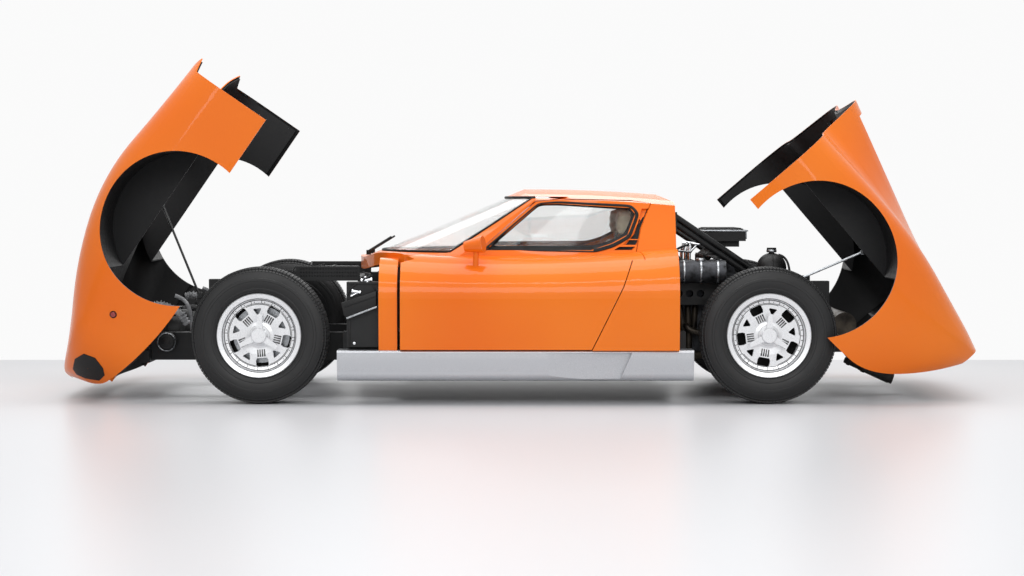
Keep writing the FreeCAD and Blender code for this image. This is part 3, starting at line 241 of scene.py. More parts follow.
def spun(name, profile, centre, steps=64):
    """A ring turned round a line along Y from a closed profile of (radius, across) points."""
    centre = Vector(centre)
    piece = start("circle", name, vertices=len(profile), fill_type="NOTHING")
    for vertex, (radius, across) in zip(piece.data.vertices, profile):
        vertex.co = centre + Vector((radius, across, 0))
    pick(piece, "VERT")
    bpy.ops.mesh.spin(steps=steps, angle=math.tau, center=centre, axis=ACROSS, use_auto_merge=True)
    face_outwards(piece, merge=0.00005)
    return piece


def closed_strip(name, rings):
    """A strip through rings of points, each ring closed, with a face between every two."""
    mesh = bmesh.new()
    rows = [[mesh.verts.new(point) for point in ring] for ring in rings]
    count = len(rings[0])
    for near, far in zip(rows, rows[1:]):
        for index in range(count):
            after = (index + 1) % count
            mesh.faces.new((near[index], near[after], far[after], far[index]))
    return linked(name, mesh)


def plate(name, outline, y_near, y_far, edge=0.0015):
    """A flat plate from a side outline of (station, height), between two Y places."""
    mesh = bmesh.new()
    near = [mesh.verts.new(at(station, y_near, height)) for station, height in outline]
    far = [mesh.verts.new(at(station, y_far, height)) for station, height in outline]
    mesh.faces.new(near)
    mesh.faces.new(far[::-1])
    for index in range(len(outline)):
        after = (index + 1) % len(outline)
        mesh.faces.new((near[index], far[index], far[after], near[after]))
    bmesh.ops.recalc_face_normals(mesh, faces=mesh.faces)
    return bevelled(linked(name, mesh), edge)


def clamp(start_at, end_at, radius):
    """A short plated sleeve with a ring near each end."""
    body = rod("clamp", [start_at, end_at], radius)
    axis = (end_at - start_at).normalized()
    rings = [disc("clamp_ring", start_at.lerp(end_at, share), radius * 1.35, radius * 0.7, axis,
                  radius * 0.15, 24) for share in (0.08, 0.92)]
    return joined("clamp", [body] + rings)


def coil(name, foot, head, radius, wire, turns):
    """A coil spring of round wire between two points, its last turns lying nearly flat."""
    axis = head - foot
    along = axis.normalized()
    side = along.orthogonal().normalized()
    across = along.cross(side)
    points = []
    count = turns * 12
    for step in range(count + 1):
        share = step / count
        rise = share - 0.028 * math.sin(math.tau * share)
        angle = math.tau * turns * share
        points.append(foot + axis * rise + (side * math.cos(angle) + across * math.sin(angle)) * radius)
    return tube(name, points, wire, sides=3)


def joined(name, pieces):
    """One piece from several."""
    only(*pieces)
    if len(pieces) > 1:
        bpy.ops.object.join()
    bpy.context.object.name = name
    return bpy.context.object


def copied(piece, matrix, name=None):
    """A copy with its own mesh, moved by a matrix; a mirrored one keeps its faces outwards."""
    twin = piece.copy()
    twin.data = piece.data.copy()
    twin.data.transform(matrix)
    if matrix.determinant() < 0:
        twin.data.flip_normals()
    if name:
        twin.name = name
    bpy.context.collection.objects.link(twin)
    return twin


def both_sides(piece):
    """The left piece and its mirrored right twin, as one."""
    return joined(piece.name, [piece, copied(piece, MIRROR)])


def finished(piece, maker, body="chassis", slot=None, turn=None, angle=35):
    """Bakes a piece's place into its mesh, smooths it, gives it a finish and puts it on a body."""
    baked(piece)
    if turn is not None:
        piece.data.transform(turn)
    bpy.ops.object.shade_smooth_by_angle(angle=math.radians(angle))
    piece.data.materials.clear()
    piece.data.materials.append(finish_of(maker))
    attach(piece, body)
    return piece


def fitted(name, pieces, maker, pair=False, **rest):
    """Joins pieces, with their mirrored twins where they come in pairs, and finishes them as one."""
    piece = joined(name, pieces)
    return finished(both_sides(piece) if pair else piece, maker, **rest)


def met(node, origin, direction=ACROSS, **limit):
    """Where a line meets a node, and the surface's direction there, or None."""
    hit, place, normal, _ = NODES[node].ray_cast(origin, direction, **limit)
    return (place, normal) if hit else None


def surface_at(node, origin, direction=ACROSS, turn=Matrix()):
    """Where a line meets a node, in the node's shut pose; a miss at a seam is tried again close by."""
    back = turn.inverted()
    for nudge in (0, 0.0004, -0.0007, 0.0011, -0.0015):
        found = met(node, turn @ (origin + Vector((nudge, nudge, nudge))), turn.to_3x3() @ direction)
        if found:
            return back @ found[0], (back.to_3x3() @ found[1]).normalized()
    raise RuntimeError("%s is missed from %s" % (node, tuple(round(v, 3) for v in origin)))


def offset_outline(outline, distance):
    """A closed outline of (u, v) points moved outwards; distance is one number or one for each point."""
    points = [Vector(point) for point in outline]
    area = sum(a.x * b.y - b.x * a.y for a, b in zip(points, points[1:] + points[:1]))
    sign = 1 if area > 0 else -1
    moved = []
    for index, here in enumerate(points):
        first = (here - points[index - 1]).normalized()
        second = (points[(index + 1) % len(points)] - here).normalized()
        normal_first = Vector((first.y, -first.x)) * sign
        normal_second = Vector((second.y, -second.x)) * sign
        bisector = (normal_first + normal_second).normalized()
        reach = distance[index] if isinstance(distance, (list, tuple)) else distance
        moved.append(here + bisector * reach / max(0.4, bisector.dot(normal_first)))
    return moved


def divided(outline, pieces):
    """Each side of a closed outline cut into a number of equal runs."""
    points = []
    for here, after in zip(outline, outline[1:] + outline[:1]):
        for step in range(pieces):
            points.append(here.lerp(after, step / pieces))
    return points


def rounded(outline, runs):
    """A closed outline with its corners cut three times, each side in equal runs."""
    points = outline
    for _ in range(3):
        cut = []
        for index, here in enumerate(points):
            after = points[(index + 1) % len(points)]
            share = min(0.25, 0.012 / max((after - here).length, 0.0001))
            cut += [here.lerp(after, share), after.lerp(here, share)]
        points = cut
    return divided(points, max(1, runs * len(outline) // len(points) + 1))


# ---------------------------------------------------------------- colours and materials


def hex_colour(text):
    """An sRGB hex value as a linear colour."""
    channels = []
    for index in (1, 3, 5):
        value = int(text[index:index + 2], 16) / 255
        channels.append(value / 12.92 if value <= 0.04045 else ((value + 0.055) / 1.055) ** 2.4)
    return (*channels, 1.0)


def add_node(tree, kind, settings=None, links=None):
    """Adds a node, sets its properties and sockets, and links sockets to other nodes' outputs."""
    node = tree.nodes.new(kind)
    for name, value in (settings or {}).items():
        if isinstance(name, int) or name in node.inputs:
            node.inputs[name].default_value = value
        else:
            setattr(node, name, value)
    for name, source in (links or {}).items():
        tree.links.new(source, node.inputs[name])
    return node


def shader_of(material):
    """A material's node tree and its principled shader."""
    return material.node_tree, material.node_tree.nodes["Principled BSDF"]


def new_material(name, colour, roughness, metallic=0.0, **shader):
    """A principled material; shader sets more of its sockets by name."""
    material = bpy.data.materials.new(name)
    material.use_nodes = True
    surface = shader_of(material)[1]
    surface.inputs["Base Color"].default_value = hex_colour(colour)
    surface.inputs["Roughness"].default_value = roughness
    surface.inputs["Metallic"].default_value = metallic
    for socket, value in shader.items():
        surface.inputs[socket.replace("_", " ").title().replace("Ior", "IOR")].default_value = value
    return material


def texture(tree, kind, scale, *rest):
    """A texture in the object's own metres; scale is in cycles per metre.

    Noise also takes its detail and roughness, and Wave the axis that its bands follow.
    """
    place = add_node(tree, "ShaderNodeTexCoord")
    names = {"Noise": ("Detail", "Roughness"), "Wave": ("bands_direction",), "Voronoi": ()}[kind]
    settings = {"Scale": scale, **dict(zip(names, rest))}
    node = add_node(tree, "ShaderNodeTex" + kind, settings, {"Vector": place.outputs["Object"]})
    return node.outputs["Distance" if kind == "Voronoi" else "Fac"]


def blended(tree, surface, source, dark, light, span=(0.3, 0.7)):
    """Base colour between two colours, where a texture runs over a span."""
    ranged = add_node(tree, "ShaderNodeMapRange", {"From Min": span[0], "From Max": span[1]},
                      {"Value": source})
    return coloured(tree, surface, ranged.outputs["Result"], dark, light)


def coloured(tree, surface, share, dark, light):
    """Base colour mixed by a share; light may be a colour or another node's output."""
    mixed = add_node(tree, "ShaderNodeMix", {"data_type": "RGBA", 6: dark}, {"Factor": share})
    if isinstance(light, bpy.types.NodeSocket):
        tree.links.new(light, mixed.inputs[7])
    else:
        mixed.inputs[7].default_value = light
    tree.links.new(mixed.outputs[2], surface.inputs["Base Color"])
    return mixed.outputs[2]


def relieved(tree, surface, source, strength, height):
    """Small relief after a texture, its height in metres."""
    relief = add_node(tree, "ShaderNodeBump", {"Strength": strength, "Distance": height}, {"Height": source})
    tree.links.new(relief.outputs["Normal"], surface.inputs["Normal"])


def material_of(name, colour, roughness, metallic=0.0, mottle=None, shades=None, span=(0.3, 0.7), sheen=None,
                grain=None, relief=None, **shader):
    """A material whose colour and roughness follow a mottle, with small relief after a grain.

    mottle is a noise's (scale, detail, roughness), shades two hex colours and sheen two roughnesses between
    which it runs. grain is what texture() takes, or the mottle again, and relief its strength and height.
    """
    material = new_material(name, colour, roughness, metallic, **shader)
    tree, surface = shader_of(material)
    if mottle:
        source = texture(tree, "Noise", *mottle)
        if shades:
            blended(tree, surface, source, hex_colour(shades[0]), hex_colour(shades[1]), span)
        if sheen:
            ranged = add_node(tree, "ShaderNodeMapRange",
                              {"From Min": 0.3, "From Max": 0.7, "To Min": sheen[0], "To Max": sheen[1]},
                              {"Value": source})
            tree.links.new(ranged.outputs["Result"], surface.inputs["Roughness"])
    if relief:
        relieved(tree, surface, texture(tree, *(grain or ("Noise", *mottle))), *relief)
    return material


# painted shade and painted light of the body enamel, mixed by a broad noise
PAINT_DARK, PAINT_LIGHT = "#EA6A10", "#F27D1C"


def enamel(name, core=None):
    """Sprayed two-pack enamel under lacquer; faces turned to a core point are black."""
    settings = bpy.context.scene.coupe
    # orange peel about 3 mm across, drawn shallow
    material = material_of(name, "#EE7A1E", 0.4, grain=("Noise", 320, 1.0), relief=(0.03, 0.0004),
                           coat_weight=0.5, coat_roughness=0.03, coat_ior=1.45, specular_ior_level=0.1)
    tree, surface = shader_of(material)
    # broad drift in shade, 0.8 m across, as light falls off over a big panel
    paint = blended(tree, surface, texture(tree, "Noise", 1.2, 1.0), settings.paint_dark,
                    settings.paint_light)
    if core is not None:
        place = add_node(tree, "ShaderNodeTexCoord")
        away = add_node(tree, "ShaderNodeVectorMath", {"operation": "SUBTRACT", 1: core},
                        {0: place.outputs["Object"]})
        turned = add_node(tree, "ShaderNodeNewGeometry")
        side = add_node(tree, "ShaderNodeVectorMath", {"operation": "DOT_PRODUCT"},
                        {0: away.outputs["Vector"], 1: turned.outputs["Normal"]})
        outside = add_node(tree, "ShaderNodeMath", {"operation": "GREATER_THAN", 1: 0.0},
                           {0: side.outputs["Value"]})
        coloured(tree, surface, outside.outputs["Value"], hex_colour("#0C0C0D"), paint)
    return material


def enamel_orange():
    """Body enamel on the cabin and the doors."""
    return enamel("enamel_orange")


def enamel_front():
    """Body enamel on the front clamshell, black inside."""
    return enamel("enamel_front", FRONT_LID @ at(-0.25, 0, 0.36))


def enamel_rear():
    """Body enamel on the rear clamshell, black inside."""
    return enamel("enamel_rear", REAR_LID @ at(2.75, 0, 0.42))


def glass_fibre_black():
    """Flow-coated glass fibre: satin black with a coarse mottle where the mat shows through."""
    return material_of("glass_fibre_black", "#0B0B0C", 0.5, mottle=(55, 4.0, 0.6),
                       shades=("#080809", "#121214"), sheen=(0.42, 0.62), relief=(0.25, 0.0012),
                       specular_ior_level=0.3)


def chassis_black():
    """Brushed-on satin chassis paint over pressed steel: low sheen, a little dust."""
    return material_of("chassis_black", "#0E0F10", 0.45, mottle=(14, 5.0, 0.6), shades=("#0A0A0B", "#18191A"),
                       sheen=(0.35, 0.6), grain=("Noise", 260, 2.0), relief=(0.12, 0.0005),
                       specular_ior_level=0.35)


def sill_silver():
    """Silver cellulose paint with aluminium flake of about 0.1 mm, drawn at 2 mm so that it shows."""
    return material_of("sill_silver", "#B4B6BA", 0.34, 0.55, mottle=(500, 2.0), shades=("#A6A8AD", "#C4C6CA"),
                       coat_weight=0.6, coat_roughness=0.08)


def cast_alloy():
    """Sand-cast magnesium alloy under silver lacquer: bright, slightly grainy, with painted shade in its
    corners.
    """
    material = material_of("cast_alloy", "#EDEEF0", 0.34, 0.5, mottle=(420, 3.0), sheen=(0.26, 0.4),
                           relief=(0.08, 0.0004), coat_weight=0.3, coat_roughness=0.15)
    tree, surface = shader_of(material)
    lacquer = blended(tree, surface, texture(tree, "Noise", 420, 3.0), hex_colour("#DDDEE1"),
                      hex_colour("#F4F5F6"))
    # painted shade darkens corners up to 15 mm deep, read from ambient occlusion
    corner = add_node(tree, "ShaderNodeAmbientOcclusion", {"samples": 8, "Distance": 0.015})
    unshaded = add_node(tree, "ShaderNodeMapRange", {"From Min": 0.35, "From Max": 0.85},
                     {"Value": corner.outputs["AO"]})
    coloured(tree, surface, unshaded.outputs["Result"], hex_colour("#2E2D2C"), lacquer)
    return material


def tyre_rubber():
    """Vulcanised carbon-black rubber: near black, waxy sheen, fine mould texture."""
    return material_of("tyre_rubber", "#111112", 0.4, mottle=(9, 4.0), shades=("#0C0C0D", "#171718"),
                       sheen=(0.45, 0.65), grain=("Noise", 600, 2.0), relief=(0.15, 0.0004),
                       specular_ior_level=0.45)


def toughened_glass():
    """Float glass with a faint green tint, seen through almost freely."""
    return material_of("toughened_glass", "#F0F5F2", 0.0, transmission_weight=1.0, ior=1.5, alpha=0.22,
                       coat_weight=0.5)


def lamp_glass():
    """Fluted lamp glass over a silvered reflector: bright and glossy."""
    return material_of("lamp_glass", "#DDE2E6", 0.06, 0.6, grain=("Wave", 22.0, "Y"), relief=(0.3, 0.002),
                       coat_weight=1.0, coat_roughness=0.02)


def lens_red():
    """Moulded acrylic lens: deep clear red with fine ribs."""
    return material_of("lens_red", "#8E0F0C", 0.12, grain=("Wave", 60.0, "Y"), relief=(0.4, 0.001),
                       coat_weight=1.0, coat_roughness=0.03)


def cast_iron_grey():
    """Sand-cast crankcase metal, oil-darkened: blotchy grey with a pitted skin."""
    return material_of("cast_iron_grey", "#4C4D50", 0.5, 0.7, mottle=(22, 6.0, 0.65),
                       shades=("#1B1B1C", "#55575C"), span=(0.35, 0.65), sheen=(0.35, 0.7),
                       grain=("Noise", 240, 4.0), relief=(0.3, 0.0012))


def exhaust_steel():
    """Mild steel pipe browned by heat: dull, streaked with straw and grey."""
    return material_of("exhaust_steel", "#4A433C", 0.5, 0.7, mottle=(16, 4.0), shades=("#2C2825", "#5E564C"),
                       sheen=(0.32, 0.6))


def exhaust_black():
    """Pipe ends in heat-proof black paint, sooty inside."""
    return material_of("exhaust_black", "#1A1918", 0.6, 0.3, mottle=(45, 4.0), shades=("#100F0F", "#2E2B29"))


def bright_steel():
    """Zinc-plated steel rod and brackets: grey, softly shining."""
    return material_of("bright_steel", "#A8ABAF", 0.3, 0.95, mottle=(60, 3.0), shades=("#8E9195", "#BCBFC2"),
                       sheen=(0.22, 0.42))


def chrome_plate():
    """Chromium plate on brass: mirror-bright, edges catch the light."""
    return material_of("chrome_plate", "#E3E5E8", 0.06, 1.0, mottle=(40, 2.0), sheen=(0.04, 0.1))


def crackle_black():
    """Wrinkle-finish stoved paint on trim and the air box: black with a fine crackle."""
    return material_of("crackle_black", "#0C0C0D", 0.5, mottle=(380, 4.0, 0.7), shades=("#080808", "#151516"),
                       relief=(0.35, 0.0008), specular_ior_level=0.35)


def trim_rubber():
    """Extruded seal rubber: flat black with a soft edge highlight."""
    return material_of("trim_rubber", "#080808", 0.55, mottle=(30, 3.0), sheen=(0.5, 0.7),
                       specular_ior_level=0.25)


def hide_cream():
    """Pale leather seat hide: warm cream in broad random patches a little darker and lighter, pebbles of
    about 1.5 mm drawn at 3 mm.
    """
    return material_of("hide_cream", "#C9BFA8", 0.5, mottle=(18, 4.0), shades=("#A99F88", "#D6CDB8"),
                       grain=("Voronoi", 330.0), relief=(0.3, 0.0008), sheen_weight=0.15)


def hide_black():
    """Black leather hide on the rim and the door cards: soft sheen, fine pebble."""
    return material_of("hide_black", "#1B1A1A", 0.45, mottle=(25, 3.0), shades=("#141414", "#242322"),
                       grain=("Voronoi", 420.0), relief=(0.25, 0.0006))


def carpet_black():
    """Short loop carpet: near-black pile with no shine."""
    return material_of("carpet_black", "#17171A", 0.95, mottle=(700, 3.0, 0.7), shades=("#0D0D0F", "#26262A"),
                       relief=(0.6, 0.002), sheen_weight=0.3)


def dial_white():
    """Printed ink on the dials: plain off-white."""
    return material_of("dial_white", "#E6E4DC", 0.6, mottle=(90, 2.0), sheen=(0.5, 0.7))


def hose_rubber():
    """Woven-back rubber hose: near black, dusty, with a fine cloth mark."""
    return material_of("hose_rubber", "#1C1C1D", 0.7, mottle=(30, 4.0), shades=("#0C0C0D", "#1B1B1D"),
                       grain=("Voronoi", 500.0), relief=(0.3, 0.0006))


def bellows_grey():
    """Grey cloth duct and pale alloy pipe, dulled by dust."""
    return material_of("bellows_grey", "#7C7D80", 0.65, mottle=(40, 4.0), shades=("#5E5F62", "#9A9B9D"))


def spring_black():
    """Coil spring wire in thick black enamel."""
    return material_of("spring_black", "#101012", 0.35, mottle=(60, 2.0), sheen=(0.28, 0.5))


def cast_alloy_dull():
    """Fettled engine castings: pale alloy gone grey with oil and heat."""
    return material_of("cast_alloy_dull", "#8B8C8E", 0.5, 0.75, mottle=(30, 5.0, 0.65),
                       shades=("#4A4A4B", "#A6A7A9"), grain=("Noise", 300, 3.0), relief=(0.2, 0.0008))


def bright_black():
    """Glossy stoved enamel on pressings and rods."""
    return material_of("bright_black", "#0D0D0F", 0.22, mottle=(50, 3.0), sheen=(0.16, 0.36))


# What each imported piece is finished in.
FINISHES = {
    chassis_black: "chassis_tub front_frame rear_frame front_suspension rear_suspension",
    enamel_orange: "cabin_shell door_left door_right",
    enamel_front: "front_clamshell",
    enamel_rear: "rear_clamshell",
    glass_fibre_black: "front_liner rear_liner engine_louvres",
    toughened_glass: "windscreen bulkhead_window door_glass_left door_glass_right",
    sill_silver: "sills",
    crackle_black: "dashboard intake coolant_tank radiator nose_grille tail_panel",
    trim_rubber: "steering_wheel wipers",
    hide_cream: "seat_left seat_right",
    cast_iron_grey: "engine",
    exhaust_steel: "exhaust",
    bright_steel: "knuckle_left knuckle_right rear_stay",
    bright_black: "front_stay",
    cast_alloy: "wheel_front_left wheel_front_right wheel_rear_left wheel_rear_right",
    tyre_rubber: "tyre_front_left tyre_front_right tyre_rear_left tyre_rear_right",
    lamp_glass: "headlamp_left headlamp_right",
    lens_red: "tail_lamps",
}
# Materials made so far, one for each maker.
made = {}


def finish_of(maker):
    """The material that a maker gives, made once."""
    if maker not in made:
        made[maker] = maker()
    return made[maker]


# ---------------------------------------------------------------- tyres, windows and wheels


CROWN = TYRE_RADIUS - 0.007
# Edges of the two grooves on each half of the tread, from its middle, and how far they run to and fro.
GROOVES = ((0.0185, 0.0225), (0.043, 0.047))
ZIGZAG = 0.0022
# Where the tread blocks end, and the band of shoulder lugs past them.
TREAD_EDGE = 0.072
SHOULDER = (0.079, 0.086)


def tyre_profile():
    """Half section of a tyre from the middle of the tread to the bead, then its mirror, as a ring."""
    wall = TYRE_WIDTH / 2
    half = [(CROWN, GROOVES[0][0]), (CROWN, GROOVES[0][1]), (CROWN, GROOVES[1][0]),
            (CROWN - 0.0006, GROOVES[1][1]), (CROWN - 0.002, 0.066), (CROWN - 0.007, 0.078),
            (CROWN - 0.017, 0.0875)]
    # below the shoulder: how far under the crown, and how far in from the widest place
    half += [(CROWN - down, wall - inset)
             for down, inset in ((0.030, 0.0075), (0.043, 0.004), (0.047, 0.0035), (0.049, 0.001), (0.060, 0),
                                 (0.062, 0.002), (0.080, 0.0012), (0.096, 0.006), (0.099, 0.0045),
                                 (0.104, 0.0055), (0.110, 0.0105), (0.119, 0.018), (0.1205, 0.0245),
                                 (0.137, 0.0262))]
    return half + [(radius, -across) for radius, across in reversed(half)]


def on_tyre(point, centre):
    """Distance of a point from a tyre's axle, its angle round it and its distance from the tyre's middle."""
    across, up = point.x - centre.x, point.z - centre.z
    return math.hypot(across, up), math.atan2(up, across), abs(point.y - centre.y)


class COUPE_OT_tyres(bpy.types.Operator):
    """Moulds four tyres with a block tread and ringed walls"""

    bl_idname = "coupe.tyres"
    bl_label = "Tyres"

    def execute(self, context):
        steps = context.scene.coupe.tread_blocks
        centre = middle("tyre_front_left")
        tyre = spun("tyre", tyre_profile(), centre, steps)
        for vertex in tyre.data.vertices:
            radius, angle, across = on_tyre(vertex.co, centre)
            if radius > CROWN - 0.0015 and across < 0.05:
                vertex.co.y += ZIGZAG if round(angle / math.tau * steps) % 2 else -ZIGZAG

        def is_block(face):
            radius, _, across = on_tyre(face.calc_center_median(), centre)
            in_groove = any(low < across < high for low, high in GROOVES)
            return radius > CROWN - 0.006 and across < TREAD_EDGE and not in_groove

        def is_lug(face):
            radius, _, across = on_tyre(face.calc_center_median(), centre)
            return SHOULDER[0] < across < SHOULDER[1] and radius > CROWN - 0.016

        pick(tyre, "FACE", is_block)
        bpy.ops.mesh.inset(thickness=0.0017, depth=0.0066, use_individual=True)
        pick(tyre, "FACE", is_lug)
        bpy.ops.mesh.inset(thickness=0.0022, depth=0.0022, use_individual=True)
        bpy.ops.object.mode_set(mode="OBJECT")
        for end, side in CORNERS:
            node = "tyre_%s_%s" % (end, side)
            piece = copied(tyre, Matrix.Translation(middle(node) - centre), "road_" + node)
            finished(piece, tyre_rubber, "%s_wheel_%s" % (end, side), angle=28)
            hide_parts(node)
        bpy.data.objects.remove(tyre)
        return {"FINISHED"}


# Outline of the side window's clear glass, as (station, height).
WINDOW = [(1.131, 0.768), (1.375, 0.976), (1.470, 0.979), (1.828, 0.958), (1.850, 0.930), (1.810, 0.832),
          (1.733, 0.792), (1.655, 0.768)]
# How wide the black frame is past each corner of the glass, and the waist that it stops at.
WINDOW_FRAME = [0.016, 0.011, 0.016, 0.020, 0.024, 0.026, 0.028, 0.026]
WAIST = 0.739
# The frame's section: the share of its width from the glass, and how far it stands proud there.
FRAME_SECTION = ((-0.3, -0.022), (-0.3, -0.002), (0.0, 0.003), (0.12, 0.004), (0.5, 0.004), (0.9, 0.004),
                 (1.0, 0.002), (1.0, -0.004))


def cabin_side(station, height):
    """Outermost point of the left cabin side above the waist."""
    found = [met(node, at(station, -0.70, height), distance=0.35)
             for node in ("door_left", "door_glass_left", "cabin_shell", "windscreen")]
    places = [place for place, _ in filter(None, found)]
    if not places:
        raise RuntimeError("no cabin side at %.3f, %.3f" % (station, height))
    return min(places, key=lambda place: place.y)


def screen_point(y, height):
    """Outer face of the windscreen at a height."""
    return surface_at("windscreen", at(-0.5, y, height), Vector((1, 0, 0)))[0]


def screen_edge(height):
    """The windscreen's right-hand edge at a height, found by halving."""
    inside, outside = 0.0, 0.75
    for _ in range(12):
        y = (inside + outside) / 2
        if met("windscreen", at(-0.5, y, height), Vector((1, 0, 0))):
            inside = y
        else:
            outside = y
    return screen_point(inside, height)


class COUPE_OT_window_frames(bpy.types.Operator):
    """Frames the side windows in black and seals the other panes"""

    bl_idname = "coupe.window_frames"
    bl_label = "Window frames"

    def execute(self, context):
        rim = [Vector((point.x, max(point.y, WAIST))) for point in offset_outline(WINDOW, WINDOW_FRAME)]
        near = rounded([Vector(point) for point in WINDOW], 12)
        far = rounded(rim, 12)
        rings = [[cabin_side(*a.lerp(b, share)) - Vector((0, proud, 0)) for a, b in zip(near, far)]
                 for share, proud in FRAME_SECTION]
        left = thickened(closed_strip("window_frame_left", rings), 0.001)
        face_outwards(left)
        right = copied(left, MIRROR, "window_frame_right")
        finished(left, trim_rubber, "left_door")
        finished(right, trim_rubber, "right_door")

        # the windscreen's seal follows the pane's own edge
        low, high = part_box("windscreen")
        heights = [low.z + 0.004 + (high.z - low.z - 0.008) * step / 12 for step in range(13)]
        right = [screen_edge(height) for height in heights]
        left = [Vector((point.x, -point.y, point.z)) for point in right]
        foot = [screen_point(right[0].y * (step / 10 - 1), heights[0]) for step in range(1, 20)]
        head = [screen_point(right[-1].y * (1 - step / 10), heights[-1]) for step in range(1, 20)]
        loop = left[::-1] + foot + right + head
        finished(rod("windscreen_seal", loop + [loop[0]], 0.0075), trim_rubber)
        low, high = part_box("bulkhead_window")
        corners = [(low.y, low.z), (high.y, low.z), (high.y, high.z), (low.y, high.z), (low.y, low.z)]
        finished(rod("bulkhead_seal", [Vector((high.x, y, z)) for y, z in corners], 0.007), trim_rubber)
        return {"FINISHED"}


# Radii of the seams inside and outside the ring of blocks on a wheel, and how many blocks it has.
RIM_SEAMS = (0.152, 0.181)
RIM_BLOCKS = 20


def seam_shade_lines(hub, spots):
    """Lines of painted shade along spots given as radius and angle, only where the wheel's face lies level
    under them.
    """
    runs = [[]]
    for radius, angle in spots:
        origin = Vector((hub.x + math.cos(angle) * radius, -1.2, hub.z + math.sin(angle) * radius))
        found = met("wheel_front_left", origin)
        if not found or (runs[-1] and abs(found[0].y - runs[-1][-1].y) > 0.004):
            runs.append([])
        if found:
            runs[-1].append(found[0] - Vector((0, 0.0003, 0)))
    return [rod("rim_seam_shade", run, 0.0013) for run in runs if len(run) > 1]


class COUPE_OT_wheels(bpy.types.Operator):
    """Backs the wheels with black shields, which also stand as painted shade in their windows, and draws
    painted shade along the seams between the blocks of their rims
    """

    bl_idname = "coupe.wheels"
    bl_label = "Wheels"

    def execute(self, context):
        hub = middle("tyre_front_left")
        # painted shade along the seams round and across the ring of blocks
        seam_shades = []
        for radius in RIM_SEAMS:
            seam_shades += seam_shade_lines(hub, [(radius, math.tau * step / 96) for step in range(97)])
        for index in range(RIM_BLOCKS):
            angle = math.tau * (index + 0.5) / RIM_BLOCKS
            seam_shades += seam_shade_lines(hub, [(0.153 + 0.0045 * step, angle) for step in range(7)])
        seam_shades = joined("wheel_seam_shade", seam_shades)
        # a black disc behind each wheel's face: the brake shield, and painted shade in the wheel's windows
        shield_and_shade = spun("wheel_shield_and_shade", [(radius, hub.y + depth) for radius, depth in (
            (0.168, 0.030), (0.168, 0.034), (0.05, 0.034), (0.05, 0.030))], (hub.x, 0, hub.z))
        for end, side in CORNERS:
            corner = "%s_%s" % (end, side)
            place = Matrix.Translation(Vector((middle("tyre_" + corner).x - hub.x, 0, 0))) @ dict(BOTH)[side]
            for piece in (seam_shades, shield_and_shade):
                finished(copied(piece, place, "%s_%s" % (piece.name, corner)), trim_rubber,
                         "%s_wheel_%s" % (end, side))
        bpy.data.objects.remove(seam_shades)
        bpy.data.objects.remove(shield_and_shade)
        return {"FINISHED"}


# ---------------------------------------------------------------- seats and cabin


# How finely a pad is remeshed, how hard its filling presses, and for how many frames.
PAD_VOXEL = 0.006
PAD_PRESSURE = 4
PAD_FRAMES = 20


def stuffed(piece, cap):
    """Fills a pad: its skin is remeshed and blown up as cloth, and no point moves further than cap."""
    baked(piece)
    piece.data.remesh_voxel_size = PAD_VOXEL
    bpy.ops.object.voxel_remesh()
    before = [vertex.co.copy() for vertex in piece.data.vertices]
    cloth = piece.modifiers.new("stuffing", "CLOTH")
    cloth.settings.use_pressure = True
    cloth.settings.uniform_pressure_force = PAD_PRESSURE
    cloth.settings.effector_weights.gravity = 0
    for frame_number in range(1, PAD_FRAMES + 1):
        bpy.context.scene.frame_set(frame_number)
    bpy.ops.object.modifier_apply(modifier=cloth.name)
    bpy.context.scene.frame_set(1)
    for vertex, was in zip(piece.data.vertices, before):
        move = vertex.co - was
        if move.length > cap:
            vertex.co = was + move.normalized() * cap


def sewn(piece, origin, along, pitch, depth, first, last, width=0.006):
    """Presses channels into a pad, square to a direction, at every pitch between two distances."""
    rows = [first + pitch * index for index in range(int(round((last - first) / pitch)) + 1)]
    centre = sum((vertex.co for vertex in piece.data.vertices), Vector()) / len(piece.data.vertices)
    for vertex in piece.data.vertices:
        reach = (vertex.co - origin).dot(along)
        press = sum(math.exp(-((reach - row) / width) ** 2) for row in rows)
        inwards = centre - vertex.co
        inwards -= along * inwards.dot(along)
        vertex.co += inwards.normalized() * depth * min(press, 1)


def pad(name, low, high, waist, crown):
    """A cushion's start: a box with its middle crowned and its sides drawn in between the corners."""
    centre, half = (low + high) / 2, (high - low) / 2
    piece = start("cube", name, size=1, location=centre)
    piece.scale = high - low
    pick(baked(piece), "FACE")
    bpy.ops.mesh.subdivide(number_cuts=5)
    bpy.ops.object.mode_set(mode="OBJECT")
    for vertex in piece.data.vertices:
        u = [(vertex.co[axis] - centre[axis]) / half[axis] for axis in range(3)]
        vertex.co.z += crown * (1 - u[0] ** 2) * (1 - u[1] ** 2) * u[2]
        vertex.co.x -= waist * u[0] * (1 - u[1] ** 2) * 0.6
        vertex.co.y -= waist * u[1] * (1 - u[0] ** 2) * 0.6
    return bevelled(piece, min(half) * 0.55, 4, 50)


